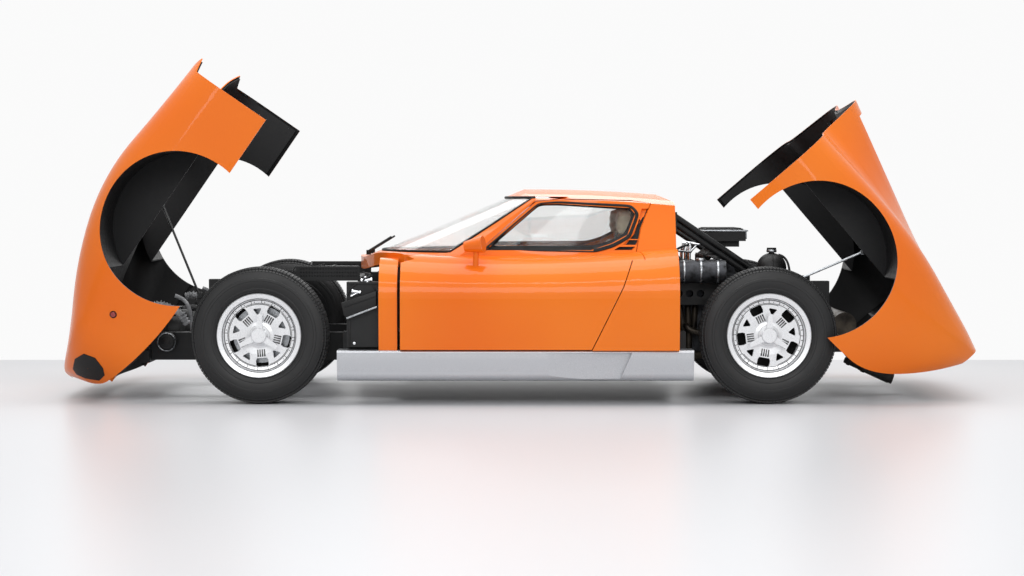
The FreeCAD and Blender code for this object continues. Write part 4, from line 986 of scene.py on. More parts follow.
class COUPE_OT_seats(bpy.types.Operator):
    """Upholsters both seats: a channelled cushion and back, a headrest and a moulded shell"""

    bl_idname = "coupe.seats"
    bl_label = "Seats"

    def execute(self, context):
        low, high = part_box("seat_left")
        mid_y = (low.y + high.y) / 2
        reach = (high.y - low.y) / 2
        front, hip = 1.345, 1.640
        cushion = pad("cushion", at(front, mid_y - reach + 0.02, 0.165), at(hip, mid_y + reach - 0.02, 0.262),
                      0.008, 0.012)
        # the back is made lying flat and turned up about its foot
        back = pad("squab", at(hip, mid_y - reach + 0.03, 0.215), at(2.200, mid_y + reach - 0.03, 0.290),
                   0.01, 0.012)
        foot = at(hip, mid_y, 0.250)
        rise = (Matrix.Translation(foot) @ Matrix.Rotation(-math.radians(73), 4, "Y")
                @ Matrix.Translation(-foot))
        back.data.transform(rise)
        headrest = pad("headrest", at(1.775, mid_y - 0.100, 0.826), at(1.855, mid_y + 0.100, 0.946), 0.006,
                       0.006)
        pads = {"cushion": cushion, "squab": back, "headrest": headrest}
        for name, cap in (("cushion", 0.012), ("squab", 0.012), ("headrest", 0.008)):
            stuffed(pads[name], cap)
        up_back = (rise.to_3x3() @ Vector((1, 0, 0))).normalized()
        sewn(cushion, at(front, 0, 0), Vector((1, 0, 0)), 0.044, 0.007, 0.05, 0.27)
        sewn(back, foot, up_back, 0.044, 0.007, 0.06, 0.50)
        sewn(headrest, at(1.815, 0, 0.826), Vector((0, 0, 1)), 0.036, 0.005, 0.022, 0.1)
        for name, piece in pads.items():
            for side, twin in (("left", piece), ("right", copied(piece, MIRROR))):
                twin.name = "%s_%s" % (name, side)
                finished(twin, hide_cream, angle=60)

        shells = [block("seat_cheek", at(1.34, y, 0.143), at(1.70, y + 0.012, 0.235), 0.004)
                  for y in (mid_y - reach + 0.008, mid_y + reach - 0.018)]
        shells.append(block("seat_pan", at(1.34, mid_y - reach + 0.01, 0.143),
                            at(1.70, mid_y + reach - 0.01, 0.163), 0.004))
        rear = block("seat_rear", at(1.650, mid_y - reach + 0.05, 0.206),
                     at(2.190, mid_y + reach - 0.05, 0.214), 0.003)
        rear.data.transform(rise)
        shells.append(rear)
        for y in (-0.05, 0.05):
            shells.append(rod("headrest_post", path((1.79, mid_y + y, 0.76), (1.815, mid_y + y, 0.85)),
                              0.006))
        fitted("seat_shells", shells, crackle_black, pair=True)
        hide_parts("seat_left", "seat_right")
        return {"FINISHED"}


def dial(centre, radius):
    """One dial facing the tail: its rim, its face, and its marks with the needle."""
    rim = hoop("dial_rim", centre, radius, 0.003, (0, math.radians(90), 0), sides=10)
    face = disc("dial_face", centre, radius - 0.002, 0.002, (1, 0, 0), 0.0004)
    marks = []
    for step in range(9):
        angle = math.radians(-130 + step * 32.5)
        spot = Vector((0.0016, math.sin(angle) * radius * 0.78, math.cos(angle) * radius * 0.78))
        mark = start("cube", "dial_mark", size=0.002, location=centre + spot)
        mark.scale = (0.4, 0.7, 2.2)
        mark.rotation_euler = (-angle, 0, 0)
        marks.append(mark)
    needle = start("cube", "dial_needle", size=0.002, location=centre + Vector((0.0018, 0, radius * 0.3)))
    needle.scale = (0.4, 0.8, radius * 360)
    return rim, face, marks + [needle]


class COUPE_OT_cabin(bpy.types.Operator):
    """Fits out the cabin: dash, dials, levers, pedals, carpets, steering wheel, door cards and mirror"""

    bl_idname = "coupe.cabin"
    bl_label = "Cabin"

    def execute(self, context):
        column_y = middle("steering_wheel").y
        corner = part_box("dashboard")[1]
        rear, top = corner.x, corner.z

        def panel(name, y_low, y_high, x_low, x_high, z_low, z_high, edge):
            """A padded panel placed from the dashboard's rear face and its top."""
            return block(name, Vector((rear + x_low, y_low, top + z_low)),
                         Vector((rear + x_high, y_high, top + z_high)), edge)

        hood_ys = (column_y - 0.095, column_y + 0.095)
        trim = [panel("dash_pad", -0.598, 0.598, -0.16, 0.014, -0.022, 0.016, 0.012)]
        trim += [disc("dial_hood", Vector((rear + 0.012, y, top - 0.050)), 0.066, 0.05, (1, 0, 0.2), 0.004)
                 for y in hood_ys]
        trim.append(panel("console_face", -0.15, 0.15, -0.02, 0.018, -0.215, -0.028, 0.006))
        trim.append(panel("glove_lid", 0.2, 0.55, -0.004, 0.008, -0.115, -0.035, 0.004))
        fitted("dash_trim", trim, crackle_black)
        places = [(0.055, Vector((rear + 0.038, y, top - 0.050))) for y in hood_ys]
        places += [(0.034, Vector((rear + 0.019, -0.095 + column * 0.095, top - 0.075 - row * 0.09)))
                   for row in range(2) for column in range(3)]
        rims, faces, marks = zip(*[dial(place, radius) for radius, place in places])
        fitted("dial_rims", rims, chrome_plate)
        fitted("dial_faces", faces, trim_rubber)
        fitted("dial_marks", [baked(mark) for group in marks for mark in group], dial_white)

        # gear lever in an open gate, on the tunnel
        tunnel = 0.323
        levers = [
            block("gear_gate", at(1.18, -0.055, tunnel - 0.001), at(1.29, 0.055, tunnel + 0.005)),
            hose("gear_lever", 0.006, (1.235, 0, tunnel), (1.238, -0.002, tunnel + 0.06),
                 (1.25, -0.006, tunnel + 0.12)),
            hose("brake_lever", 0.009, (1.36, -0.085, tunnel - 0.005), (1.46, -0.085, tunnel + 0.03),
                 (1.56, -0.085, tunnel + 0.05))]
        fitted("levers", levers, chrome_plate)
        finished(start("uv_sphere", "gear_knob", segments=24, ring_count=16, radius=0.021,
                       location=at(1.252, -0.006, tunnel + 0.13)), trim_rubber)
        pedals = []
        for y in (-0.44, -0.36, -0.28):
            pedals.append(block("pedal", at(0.80, y - 0.026, 0.24), at(0.812, y + 0.026, 0.31), 0.003,
                                (0, math.radians(-20), 0)))
            pedals.append(hose("pedal_arm", 0.005, (0.806, y, 0.30), (0.78, y, 0.42), (0.76, y, 0.52)))
        fitted("pedals", pedals, bright_steel)

        carpets = []
        for side in (-1, 1):
            near, far = sorted((side * 0.115, side * 0.615))
            for front, back in ((0.66, 1.32), (1.90, 2.02)):
                carpets.append(block("carpet", at(front, near, 0.1425), at(back, far, 0.152), 0.004))
        carpets.append(block("tunnel_carpet", at(0.66, -0.113, 0.3225), at(1.17, 0.113, 0.327)))
        fitted("carpets", carpets, carpet_black)

        # steering wheel: three flat spokes and a boss inside the rim, its face turned to the driver
        low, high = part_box("steering_wheel")
        turn = (Matrix.Translation(at(1.2, (low.y + high.y) / 2, 0.6))
                @ Matrix.Rotation(math.radians(-62), 4, "Y"))
        spokes = []
        for angle in (90, -150, -30):
            spoke = start("cube", "spoke", size=1, location=(0, 0.098, 0))
            spoke.scale = (0.034, 0.150, 0.004)
            baked(spoke).data.transform(Matrix.Rotation(math.radians(angle), 4, "Z"))
            spokes.append(bevelled(spoke, 0.0012))
        spokes.append(disc("boss_plate", Vector((0, 0, 0.006)), 0.046, 0.016, (0, 0, 1), 0.004))
        fitted("wheel_spokes", spokes, bright_steel, turn=turn)
        finished(hoop("wheel_grip", (0, 0, 0), 0.180, 0.0135, segments=72, sides=14), hide_black, turn=turn)

        # door cards and pulls, placed from the doors' inner faces
        inner = surface_at("door_left", at(1.3, 0, 0.5), -ACROSS)[0].y
        card = block("door_card", at(0.80, -0.8, 0.40), at(1.70, -0.794, 0.60))
        card.data.transform(Matrix.Translation(Vector((0, inner + 0.797 + 0.004, 0))))
        pull = hose("door_pull", 0.006, (1.30, inner + 0.006, 0.61), (1.34, inner + 0.03, 0.615),
                    (1.46, inner + 0.03, 0.615), (1.50, inner + 0.006, 0.61))
        for side, matrix in BOTH:
            finished(copied(card, matrix, "door_card_" + side), hide_black, side + "_door", "leather")
            finished(copied(pull, matrix, "door_pull_" + side), chrome_plate, side + "_door")
        bpy.data.objects.remove(card)
        bpy.data.objects.remove(pull)
        mirror = [block("mirror_glass", at(1.335, -0.09, 0.955), at(1.347, 0.09, 0.995), 0.005),
                  rod("mirror_stem", path((1.341, 0, 0.99), (1.35, 0, 1.012)), 0.004)]
        fitted("cabin_mirror", mirror, crackle_black)
        return {"FINISHED"}


# ---------------------------------------------------------------- springs and engine bay


# The left coil springs: station, Y, lowest and highest height, and radius.
SPRINGS = ((0.104, -0.418, 0.262, 0.440, 0.036), (2.420, -0.430, 0.285, 0.500, 0.046))


class COUPE_OT_springs(bpy.types.Operator):
    """Winds coil springs round the four dampers, each between two cups"""

    bl_idname = "coupe.springs"
    bl_label = "Springs"

    def execute(self, context):
        springs, cups = [], []
        for station, y, low, high, radius in SPRINGS:
            springs.append(coil("spring", at(station, y, low), at(station, y, high), radius, 0.0055, 6))
            for height in (low - 0.008, high + 0.008):
                cups.append(disc("spring_cup", at(station, y, height), radius + 0.008, 0.006, (0, 0, 1)))
        fitted("springs", springs, spring_black, pair=True)
        fitted("spring_cups", cups, bright_steel, pair=True)
        return {"FINISHED"}


UP = (0, 0, 1)
# Front edges of the two cam covers, the middle of the leads' cap, and where the throttle shaft lies.
COVERS = (2.090, 2.250)
CAP_STATION, CAP_Z = 2.30, 0.655
SHAFT_STATION, SHAFT_Z = 2.150, 0.735


def cam_cover_trim():
    """Fins along both cam covers, with their dome nuts."""
    fins, nuts = [], []
    for front in COVERS:
        for row in range(11):
            y = -0.275 + row * 0.055
            fins.append(block("cover_fin", at(front + 0.012, y - 0.0025, 0.640),
                              at(front + 0.118, y + 0.0025, 0.6835), 0.001))
        for row in range(4):
            for across in (0.006, 0.124):
                nuts.append(disc("cover_nut", at(front + across, -0.2475 + row * 0.165, 0.6485), 0.008, 0.010,
                                 UP, 0.002, 6))
    fitted("cover_fins", fins, cast_alloy_dull)
    fitted("cover_nuts", nuts, bright_steel)


def ignition_leads():
    """Six leads that leave a round cap and drop between the covers."""
    axis = (0, -1, 0.15)
    angles = [math.tau * index / 6 for index in range(6)]
    towers = [(CAP_STATION + math.cos(angle) * 0.022, CAP_Z + math.sin(angle) * 0.022) for angle in angles]
    cap = [disc("lead_cap", at(CAP_STATION, -0.315, CAP_Z), 0.036, 0.044, axis, 0.006)]
    cap += [disc("lead_tower", at(station, -0.341, z), 0.006, 0.016, axis, 0.001, 12)
            for station, z in towers]
    fitted("lead_cap", cap, crackle_black)
    leads = []
    for index, (station, z) in enumerate(towers):
        y = -0.25 + index * 0.09
        route = path((station, -0.348, z), (2.29, -0.385, 0.700 + index * 0.004),
                     (2.240, -0.340 + index * 0.02, 0.716), (2.235, y - 0.05, 0.712), (2.235, y, 0.66))
        leads.append(tube("lead", route, 0.0035, sides=2))
    fitted("ignition_leads", leads, hose_rubber)


def filter_box_trim():
    """A pale rim under the filter box's lid, its clips, and ribs on top."""
    rim, low, high, half = [], 0.8435 - 0.004, 0.8475, 0.2455
    for side in (-1, 1):
        rim.append(block("filter_rim", at(2.214, side * half - 0.003, low),
                         at(2.452, side * half + 0.003, high), 0.001))
    for station in (2.2155, 2.4505):
        rim.append(block("filter_rim", at(station - 0.003, -half, low), at(station + 0.003, half, high),
                         0.001))
    for row in range(4):
        y = -0.18 + row * 0.12
        for station in (2.2185, 2.4475):
            rim.append(block("filter_clip", at(station - 0.005, y - 0.012, 0.800),
                             at(station + 0.005, y + 0.012, 0.846), 0.001))
    fitted("filter_rim", rim, bright_steel)
    ys = [-0.18 + row * 0.06 for row in range(7)]
    ribs = [block("filter_rib", at(2.245, y - 0.004, 0.853), at(2.425, y + 0.004, 0.8575), 0.0015)
            for y in ys]
    fitted("filter_ribs", ribs, crackle_black)


def throttle_linkage():
    """A shaft on three stands with four levers, and rods across."""
    rods = [rod("throttle_shaft", path((SHAFT_STATION, -0.30, SHAFT_Z), (SHAFT_STATION, 0.30, SHAFT_Z)),
                0.006)]
    for y in (-0.26, 0, 0.26):
        rods.append(rod("throttle_stand", path((SHAFT_STATION, y, 0.68), (SHAFT_STATION, y, SHAFT_Z)), 0.008))
    for y in (-0.30, -0.16, 0.06, 0.18):
        rods.append(block("throttle_lever", at(2.144, y - 0.003, 0.730), at(2.156, y + 0.003, 0.785), 0.001,
                          (0, math.radians(12), 0)))
        rods.append(rod("throttle_rod", path((2.154, y, 0.78), (2.215, y, 0.772)), 0.004))
    rods.append(rod("cross_rod",
                    path((2.085, -0.36, 0.742), (SHAFT_STATION, -0.31, SHAFT_Z), (2.19, -0.25, 0.77)), 0.005))
    fitted("throttle_linkage", rods, chrome_plate)


def oil_drum_trim():
    """Bands round the lying oil drum, and its cap."""
    drum = [disc("drum_band", at(2.189 + offset, -0.48, 0.640), 0.0595, 0.010, (1, 0, 0), 0.002, 48)
            for offset in (-0.085, 0.0, 0.085)]
    drum.append(disc("drum_cap", at(2.189, -0.48, 0.700), 0.024, 0.018, UP, 0.004))
    fitted("drum_bands", drum, bright_steel)


def bay_hoses():
    """Hoses of the oil drum and the tank, a breather, a fuel line and the tank's cap."""
    hoses = [
        hose("drum_hose", 0.010, (2.10, -0.46, 0.69), (2.06, -0.45, 0.73), (2.05, -0.38, 0.72),
             (2.08, -0.31, 0.66)),
        hose("drum_drain", 0.013, (2.28, -0.47, 0.585), (2.32, -0.46, 0.52), (2.34, -0.38, 0.46),
             (2.33, -0.305, 0.43)),
        hose("tank_hose", 0.014, (2.51, -0.285, 0.625), (2.45, -0.27, 0.60), (2.42, -0.24, 0.63),
             (2.385, -0.22, 0.66)),
        hose("tank_overflow", 0.006, (2.60, -0.318, 0.722), (2.64, -0.32, 0.715), (2.66, -0.35, 0.62),
             (2.66, -0.395, 0.52)),
        hose("breather", 0.012, (2.17, 0.26, 0.675), (2.20, 0.30, 0.75), (2.25, 0.28, 0.775)),
        hose("fuel_line", 0.006, (2.06, -0.20, 0.56), (2.045, -0.24, 0.66), (2.07, -0.27, 0.76),
             (2.17, -0.225, 0.775))]
    fitted("bay_hoses", hoses, hose_rubber)
    fitted("tank_cap", [disc("tank_cap", at(2.565, -0.318, 0.742), 0.026, 0.016, UP, 0.004)], bright_steel)


def belt_drive():
    """Pulleys at the front of the engine, with the belt round them."""
    pulleys = [disc("pulley", at(2.062, y, z), radius, 0.022, (1, 0, 0), 0.003) for y, z, radius in (
        (0.0, 0.34, 0.075), (-0.16, 0.47, 0.042), (0.15, 0.50, 0.050), (0.02, 0.56, 0.036))]
    fitted("pulleys", pulleys, bright_steel)
    route = [at(2.062, y, z)
             for y, z in ((-0.072, 0.315), (0.05, 0.278), (0.2, 0.49), (0.155, 0.553), (0.03, 0.599),
                          (-0.17, 0.512), (-0.2, 0.455))]
    finished(rod("fan_belt", route + [route[0]], 0.005, sides=2), hose_rubber)


def header_pipes():
    """Pipes browned by heat that curl from the ports to the collector."""
    pipes = []
    for index in range(3):
        station = 2.125 + index * 0.085
        pipes.append(hose(
            "header", 0.017, (station, -0.300, 0.36), (station, -0.345, 0.368),
            (station + 0.02, -0.362, 0.33), (2.36, -0.350 + index * 0.012, 0.30 - index * 0.004),
            (2.44, -0.345, 0.285)))
    fitted("headers", pipes, exhaust_steel, pair=True)


class COUPE_OT_engine(bpy.types.Operator):
    """Dresses the engine: cover fins, leads, filter rim, throttle linkage, drum, hoses, belt and headers"""

    bl_idname = "coupe.engine"
    bl_label = "Engine bay"

    def execute(self, context):
        for fit in (cam_cover_trim, ignition_leads, filter_box_trim, throttle_linkage, oil_drum_trim,
                    bay_hoses, belt_drive, header_pipes):
            fit()
        return {"FINISHED"}


# ---------------------------------------------------------------- front bay


# The tray's side: its stations and heights, and how many cells it has each way.
TRAY_FRONT, TRAY_REAR, TRAY_LOW, TRAY_HIGH = 0.150, 0.472, 0.594, 0.6665
TRAY_COLUMNS, TRAY_ROWS = 46, 8
HORN_STATION, HORN_Z = -0.505, 0.285


def tray_side():
    """The tray's side, a sheet with rows of small pits, and the rim round it."""
    sheet = start("grid", "tray_side", x_subdivisions=TRAY_COLUMNS, y_subdivisions=TRAY_ROWS, size=1,
                  location=(0, 0, 0))
    for vertex in sheet.data.vertices:
        u, v = vertex.co.x + 0.5, vertex.co.y + 0.5
        vertex.co = at(TRAY_FRONT + (TRAY_REAR - TRAY_FRONT) * u, -0.4415,
                       TRAY_LOW + (TRAY_HIGH - TRAY_LOW) * v)

    def is_pit(face):
        row, column = divmod(face.index, TRAY_COLUMNS)
        return row in (2, 4, 6) and column % 2 == 1 and 2 < column < TRAY_COLUMNS - 2

    pick(sheet, "FACE", is_pit)
    bpy.ops.mesh.inset(thickness=0.0010, depth=-0.0022, use_individual=True)
    bpy.ops.object.mode_set(mode="OBJECT")
    finished(both_sides(thickened(sheet, 0.0026, 1.0)), chassis_black, angle=20)
    rims = [plate("tray_rim",
                  [(TRAY_FRONT, low), (TRAY_REAR, low), (TRAY_REAR, low + 0.005), (TRAY_FRONT, low + 0.005)],
                  -0.4425, -0.436, 0.001) for low in (0.5935, 0.663)]
    y = -0.439
    rims.append(tube("tray_corner",
                     path((TRAY_FRONT, y, 0.5955), (0.136, y, 0.603), (0.130, y, 0.63), (0.136, y, 0.658),
                          (TRAY_FRONT, y, 0.6655)), 0.0028))
    fitted("tray_rims", rims, bright_black, pair=True)


def flank_gear():
    """On the tub's flank, a sloping duct with a pale lower edge, clamps, and the front lid's latch."""
    duct = [plate("flank_duct",
                  [(0.405, 0.500), (0.577, 0.557), (0.577, 0.483), (0.434, 0.424), (0.418, 0.440)], -0.826,
                  -0.785, 0.004),
            plate("flank_duct_lip", [(0.418, 0.489), (0.572, 0.540), (0.572, 0.527), (0.424, 0.477)], -0.830,
                  -0.820, 0.002)]
    fitted("flank_duct", duct, crackle_black, pair=True)
    strip = plate("duct_strip", [(0.430, 0.428), (0.580, 0.484), (0.580, 0.476), (0.433, 0.420)], -0.829,
                  -0.792, 0.001)
    fitted("duct_strips", [strip], bright_steel, pair=True)
    fittings = [clamp(*path(first, last), radius)
                for first, last, radius in (((0.456, -0.794, 0.556), (0.500, -0.794, 0.548), 0.009),
                                            ((0.452, -0.794, 0.530), (0.486, -0.794, 0.548), 0.006),
                                            ((0.500, -0.780, 0.606), (0.556, -0.780, 0.612), 0.009),
                                            ((0.520, -0.780, 0.628), (0.532, -0.780, 0.598), 0.007))]
    fittings += [disc("flank_bolt", at(station, -0.794, 0.300), 0.008, 0.012, ACROSS, 0.002, 6)
                 for station in (0.468, 0.60)]
    fitted("flank_fittings", fittings, chrome_plate, pair=True)
    latch = [
        hose("latch_rod", 0.006, (0.548, -0.778, 0.632), (0.520, -0.784, 0.612), (0.466, -0.790, 0.584),
             (0.440, -0.792, 0.560), (0.434, -0.792, 0.535)),
        hose("latch_cable", 0.004, (0.556, -0.778, 0.636), (0.548, -0.784, 0.612), (0.555, -0.790, 0.585),
             (0.572, -0.792, 0.560)),
        plate("latch_plate", [(0.512, 0.650), (0.546, 0.642), (0.556, 0.628), (0.540, 0.622), (0.520, 0.632)],
              -0.776, -0.764, 0.002),
        plate("flank_rib", [(0.440, 0.598), (0.676, 0.598), (0.676, 0.590), (0.440, 0.590)], -0.797, -0.788,
              0.001),
        plate("flank_rib", [(0.440, 0.410), (0.447, 0.410), (0.447, 0.290), (0.440, 0.290)], -0.797, -0.788,
              0.001)]
    fitted("flank_rods", latch, crackle_black, pair=True)


def horns():
    """Stepped discs that face out on both sides of the radiator, each with a bright ring."""
    horn = [disc("horn", at(HORN_STATION, y, HORN_Z), radius, depth, ACROSS, edge, vertices)
            for y, radius, depth, edge, vertices in ((-0.445, 0.050, 0.030, 0.008, 40),
                                                     (-0.463, 0.038, 0.012, 0.003, 40),
                                                     (-0.470, 0.020, 0.012, 0.003, 24))]
    horn.append(rod("horn_stay", path((HORN_STATION, -0.43, HORN_Z), (HORN_STATION, -0.40, HORN_Z)), 0.010))
    fitted("horns", horn, crackle_black, pair=True)
    ring = hoop("horn_ring", at(HORN_STATION, -0.461, HORN_Z), 0.0445, 0.0035, (math.radians(90), 0, 0))
    fitted("horn_rings", [ring], bright_steel, pair=True)


def front_pipes():
    """A bellows behind the nose, a pale coolant pipe behind it, and dark hoses along the bay."""
    route = path((-0.560, -0.56, 0.470), (-0.520, -0.56, 0.480), (-0.470, -0.555, 0.462),
                 (-0.415, -0.545, 0.430), (-0.390, -0.53, 0.380))
    bellows = [tube("bellows", route, 0.017)]
    folds = 14
    for index in range(folds):
        share = (index + 0.5) / folds * (len(route) - 1)
        near = int(share)
        along = route[near + 1] - route[near]
        bellows.append(disc("bellows_fold", route[near].lerp(route[near + 1], share - near), 0.0215, 0.005,
                            along, 0.002, 24))
    fitted("bellows", bellows, bellows_grey, pair=True)
    pipe = hose("coolant_pipe", 0.010, (-0.455, -0.49, 0.520), (-0.410, -0.49, 0.505),
                (-0.383, -0.485, 0.455), (-0.376, -0.48, 0.39), (-0.376, -0.45, 0.34), (-0.376, -0.40, 0.32))
    finished(both_sides(pipe), bellows_grey, slot="steel")
    hoses = [
        hose("top_hose", 0.017, (-0.528, -0.24, 0.415), (-0.48, -0.26, 0.43), (-0.40, -0.30, 0.40),
             (-0.30, -0.31, 0.35), (-0.10, -0.31, 0.345)),
        hose("bottom_hose", 0.017, (-0.528, -0.20, 0.215), (-0.46, -0.24, 0.205), (-0.36, -0.30, 0.215),
             (-0.10, -0.315, 0.20)),
        hose("brake_pipe", 0.005, (0.14, -0.40, 0.48), (0.17, -0.46, 0.50), (0.12, -0.55, 0.47),
             (0.05, -0.60, 0.42))]
    fitted("front_hoses", hoses, hose_rubber, pair=True)


def tray_gear():
    """Brake and clutch reservoirs and a battery on the tray."""
    tanks = []
    for y in (-0.30, -0.22, -0.14):
        tanks.append(disc("reservoir", at(0.425, y, 0.628), 0.026, 0.044, UP, 0.004))
        tanks.append(disc("reservoir_cap", at(0.425, y, 0.654), 0.021, 0.012, UP, 0.003))
    fitted("reservoirs", tanks, bellows_grey, slot="alloy")
    battery = [block("battery_case", at(0.20, 0.06, 0.606), at(0.37, 0.31, 0.648), 0.005),
               block("battery_strap", at(0.278, 0.05, 0.606), at(0.292, 0.32, 0.652), 0.001)]
    battery += [disc("battery_post", at(0.225, y, 0.652), 0.008, 0.014, UP, 0.002, 16) for y in (0.09, 0.28)]
    fitted("battery", battery, crackle_black)


class COUPE_OT_front_bay(bpy.types.Operator):
    """Fits out the front bay: pitted tray, duct, latch, horns, bellows, pipes, reservoirs and battery"""

    bl_idname = "coupe.front_bay"
    bl_label = "Front bay"

    def execute(self, context):
        for fit in (tray_side, flank_gear, horns, front_pipes, tray_gear):
            fit()
        return {"FINISHED"}


# ---------------------------------------------------------------- lids, gills and tail


def skin_patch(name, node, outline, thickness, proud=0.0012, rings=6):
    """A thin sheet lying on a node's left flank, inside a side outline of (station, height)."""
    centre = sum((Vector(point) for point in outline), Vector((0, 0))) / len(outline)
    border = divided([Vector(point) for point in outline], 8)
    rows = []
    for row in range(rings + 1):
        ring = []
        for point in border:
            spot = centre.lerp(point, max(1 - row / rings, 0.02))
            # a line that misses the skin is drawn in towards the middle
            for pull in range(12):
                spot = centre.lerp(spot, 0.96 ** pull)
                found = met(node, at(spot.x, -1.4, spot.y))
                if found:
                    break
            if not found:
                raise RuntimeError("%s misses %s" % (name, node))
            ring.append(found[0] + found[1] * proud)
        rows.append(ring)
    sheet = closed_strip(name, rows)
    face_outwards(sheet, merge=0.0002)
    return thickened(sheet, thickness, 1.0)


def under_rib(node, turn, first, last, radius):
    """A rib along a clamshell's underside between two places (station, y), in its shut pose."""
    points = []
    for step in range(13):
        station, y = Vector(first).lerp(Vector(last), step / 12)
        place = surface_at(node, at(station, y, 0.30), Vector((0, 0, 1)), turn)[0]
        points.append(place - Vector((0, 0, radius * 0.4)))
    return rod("lid_rib", points, radius, sides=2)


# Outline of the gills behind the left door's window, as (station, height), and how deep the black sheet of
# painted shade lies in their pocket.
GILLS = [(1.886, 0.956), (1.924, 0.956), (1.903, 0.884), (1.850, 0.770), (1.834, 0.754), (1.748, 0.754),
         (1.791, 0.779), (1.840, 0.827), (1.868, 0.884)]
GILL_DEPTH = 0.0135


class COUPE_OT_gills(bpy.types.Operator):
    """Lays a black sheet of painted shade in the pockets behind the gills"""

    bl_idname = "coupe.gills"
    bl_label = "Gills"

    def execute(self, context):
        corners = [cabin_side(*point) for point in offset_outline(GILLS, 0.006)]
        ring = [at(point.x, corner.y + GILL_DEPTH, point.y)
                for corner, point in zip(corners, offset_outline(GILLS, -0.0008))]
        # a black sheet of painted shade over the pocket's floor, between the slats
        sheet = closed_strip("gill_floor_left", [ring, [point + ACROSS * 0.0008 for point in ring]])
        pick(sheet, "VERT")
        bpy.ops.mesh.edge_face_add()
        bpy.ops.object.mode_set(mode="OBJECT")
        mesh = bmesh.new()
        mesh.from_mesh(sheet.data)
        bmesh.ops.holes_fill(mesh, edges=mesh.edges)
        bmesh.ops.recalc_face_normals(mesh, faces=mesh.faces)
        mesh.to_mesh(sheet.data)
        mesh.free()
        for side, matrix in BOTH:
            finished(copied(sheet, matrix, "gill_floor_" + side), trim_rubber, side + "_door")
        bpy.data.objects.remove(sheet)
        return {"FINISHED"}


# Outline of the black patch round the left end of the bumper, partly the recess's own black and partly
# painted shade of the recess, as (station, height) with the lid raised.
BUMPER_RECESS = [(-0.950, 0.160), (-0.925, 0.215), (-0.870, 0.245), (-0.812, 0.225), (-0.778, 0.172),
                 (-0.776, 0.135), (-0.812, 0.105), (-0.890, 0.112), (-0.938, 0.130)]
# Ends of the ribs under the front lid's rear edge, each (station, y) with the lid shut.
LID_RIBS = (((0.32, 0.0), (0.395, 0.28)), ((0.34, 0.28), (0.48, 0.46)), ((0.12, 0.44), (0.48, 0.44)),
            ((0.47, 0.50), (0.61, 0.66)), ((0.42, 0.62), (0.62, 0.62)), ((0.42, 0.72), (0.62, 0.70)))


class COUPE_OT_lids(bpy.types.Operator):
    """Trims the front clamshell: side lamps, black patches of painted shade and the recesses' own black at
    the bumpers, and ribs
    """

    bl_idname = "coupe.lids"
    bl_label = "Lid trim"

    def execute(self, context):
        place, normal = surface_at("front_clamshell", at(-0.709, -1.2, 0.442))
        lamp = disc("side_lamp", place + normal * 0.003, 0.013, 0.010, normal, 0.003, 32)
        ring = baked(hoop("side_lamp_ring", place + normal * 0.002, 0.0145, 0.0032, facing(normal)))
        finished(both_sides(lamp), lens_red, "front_lid")
        finished(both_sides(ring), trim_rubber, "front_lid")
        # a thin black sheet on the skin: partly the recess's own black, partly painted shade of the recess
        recess_black_and_shade = skin_patch("bumper_recess_black_and_shade", "front_clamshell", BUMPER_RECESS, 0.0012)
        finished(both_sides(recess_black_and_shade), crackle_black, "front_lid", angle=60)
        ribs = [under_rib("front_liner", FRONT_LID, first, last, 0.008) for first, last in LID_RIBS]
        fitted("front_lid_ribs", ribs, bright_black, pair=True, body="front_lid", slot="inner_black",
               turn=FRONT_LID)
        return {"FINISHED"}


class COUPE_OT_tail(bpy.types.Operator):
    """Flares the four tail pipes and clamps them"""

    bl_idname = "coupe.tail"
    bl_label = "Tail"

    def execute(self, context):
        tips = []
        for foot, head in (path((3.030, -0.262, 0.142), (3.195, -0.262 - 0.01, 0.082)),
                           path((3.030, -0.231, 0.142), (3.185, -0.231 + 0.012, 0.082))):
            axis = head - foot
            tip = start("cone", "tail_pipe", vertices=40, radius1=0.016, radius2=0.0265, depth=axis.length,
                        end_fill_type="NOTHING", location=(foot + head) / 2, rotation=facing(axis))
            tips.append(thickened(baked(tip), 0.0016, -1.0))
            tips.append(disc("tail_clamp", foot + axis * 0.12, 0.021, 0.014, axis, 0.002))
        fitted("tail_pipes", tips, exhaust_black, pair=True)
        return {"FINISHED"}


# ---------------------------------------------------------------- settings, stage and panel


class CoupeSettings(bpy.types.PropertyGroup):
    """Sizes and colours that a user would change."""

    # painted shade and painted light of the enamel, mixed by a broad noise rather than by which way a panel
    # turns
    paint_dark: bpy.props.FloatVectorProperty(
        name="Paint, in shade", description="Body enamel where panels turn down", subtype="COLOR", size=4,
        default=hex_colour(PAINT_DARK))
    paint_light: bpy.props.FloatVectorProperty(
        name="Paint, in light", description="Body enamel where panels turn up", subtype="COLOR", size=4,
        default=hex_colour(PAINT_LIGHT))
    tread_blocks: bpy.props.IntProperty(
        name="Tread blocks", description="Blocks round one tyre", default=120, min=24, max=180)
    camera_distance: bpy.props.FloatProperty(
        name="Camera distance", description="From the car's centreline", default=11.5, unit="LENGTH")
    camera_height: bpy.props.FloatProperty(
        name="Camera height", description="Above the floor", default=1.001, unit="LENGTH")
    camera_station: bpy.props.FloatProperty(
        name="Camera station", description="Behind the front axle", default=1.24, unit="LENGTH")


class COUPE_OT_finishes(bpy.types.Operator):
    """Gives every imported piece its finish"""

    bl_idname = "coupe.finishes"
    bl_label = "Finishes"

    def execute(self, context):
        for maker, names in FINISHES.items():
            for name in names.split():
                data = NODES[name].data
                data.materials.clear()
                data.materials.append(finish_of(maker))
        return {"FINISHED"}


WHITE = (1, 1, 1, 1)
# How bright the backdrop is seen, and how strongly the sky lights the car.
BACKDROP, SKY = 0.96, 0.42
# Where the floor blends to the backdrop behind the car.
BACKDROP_Y = (2.17, 2.23)
# How far the camera is tipped up from looking straight down, in degrees, and its lens in mm.
CAMERA_TILT, LENS = 87.7, 77.0
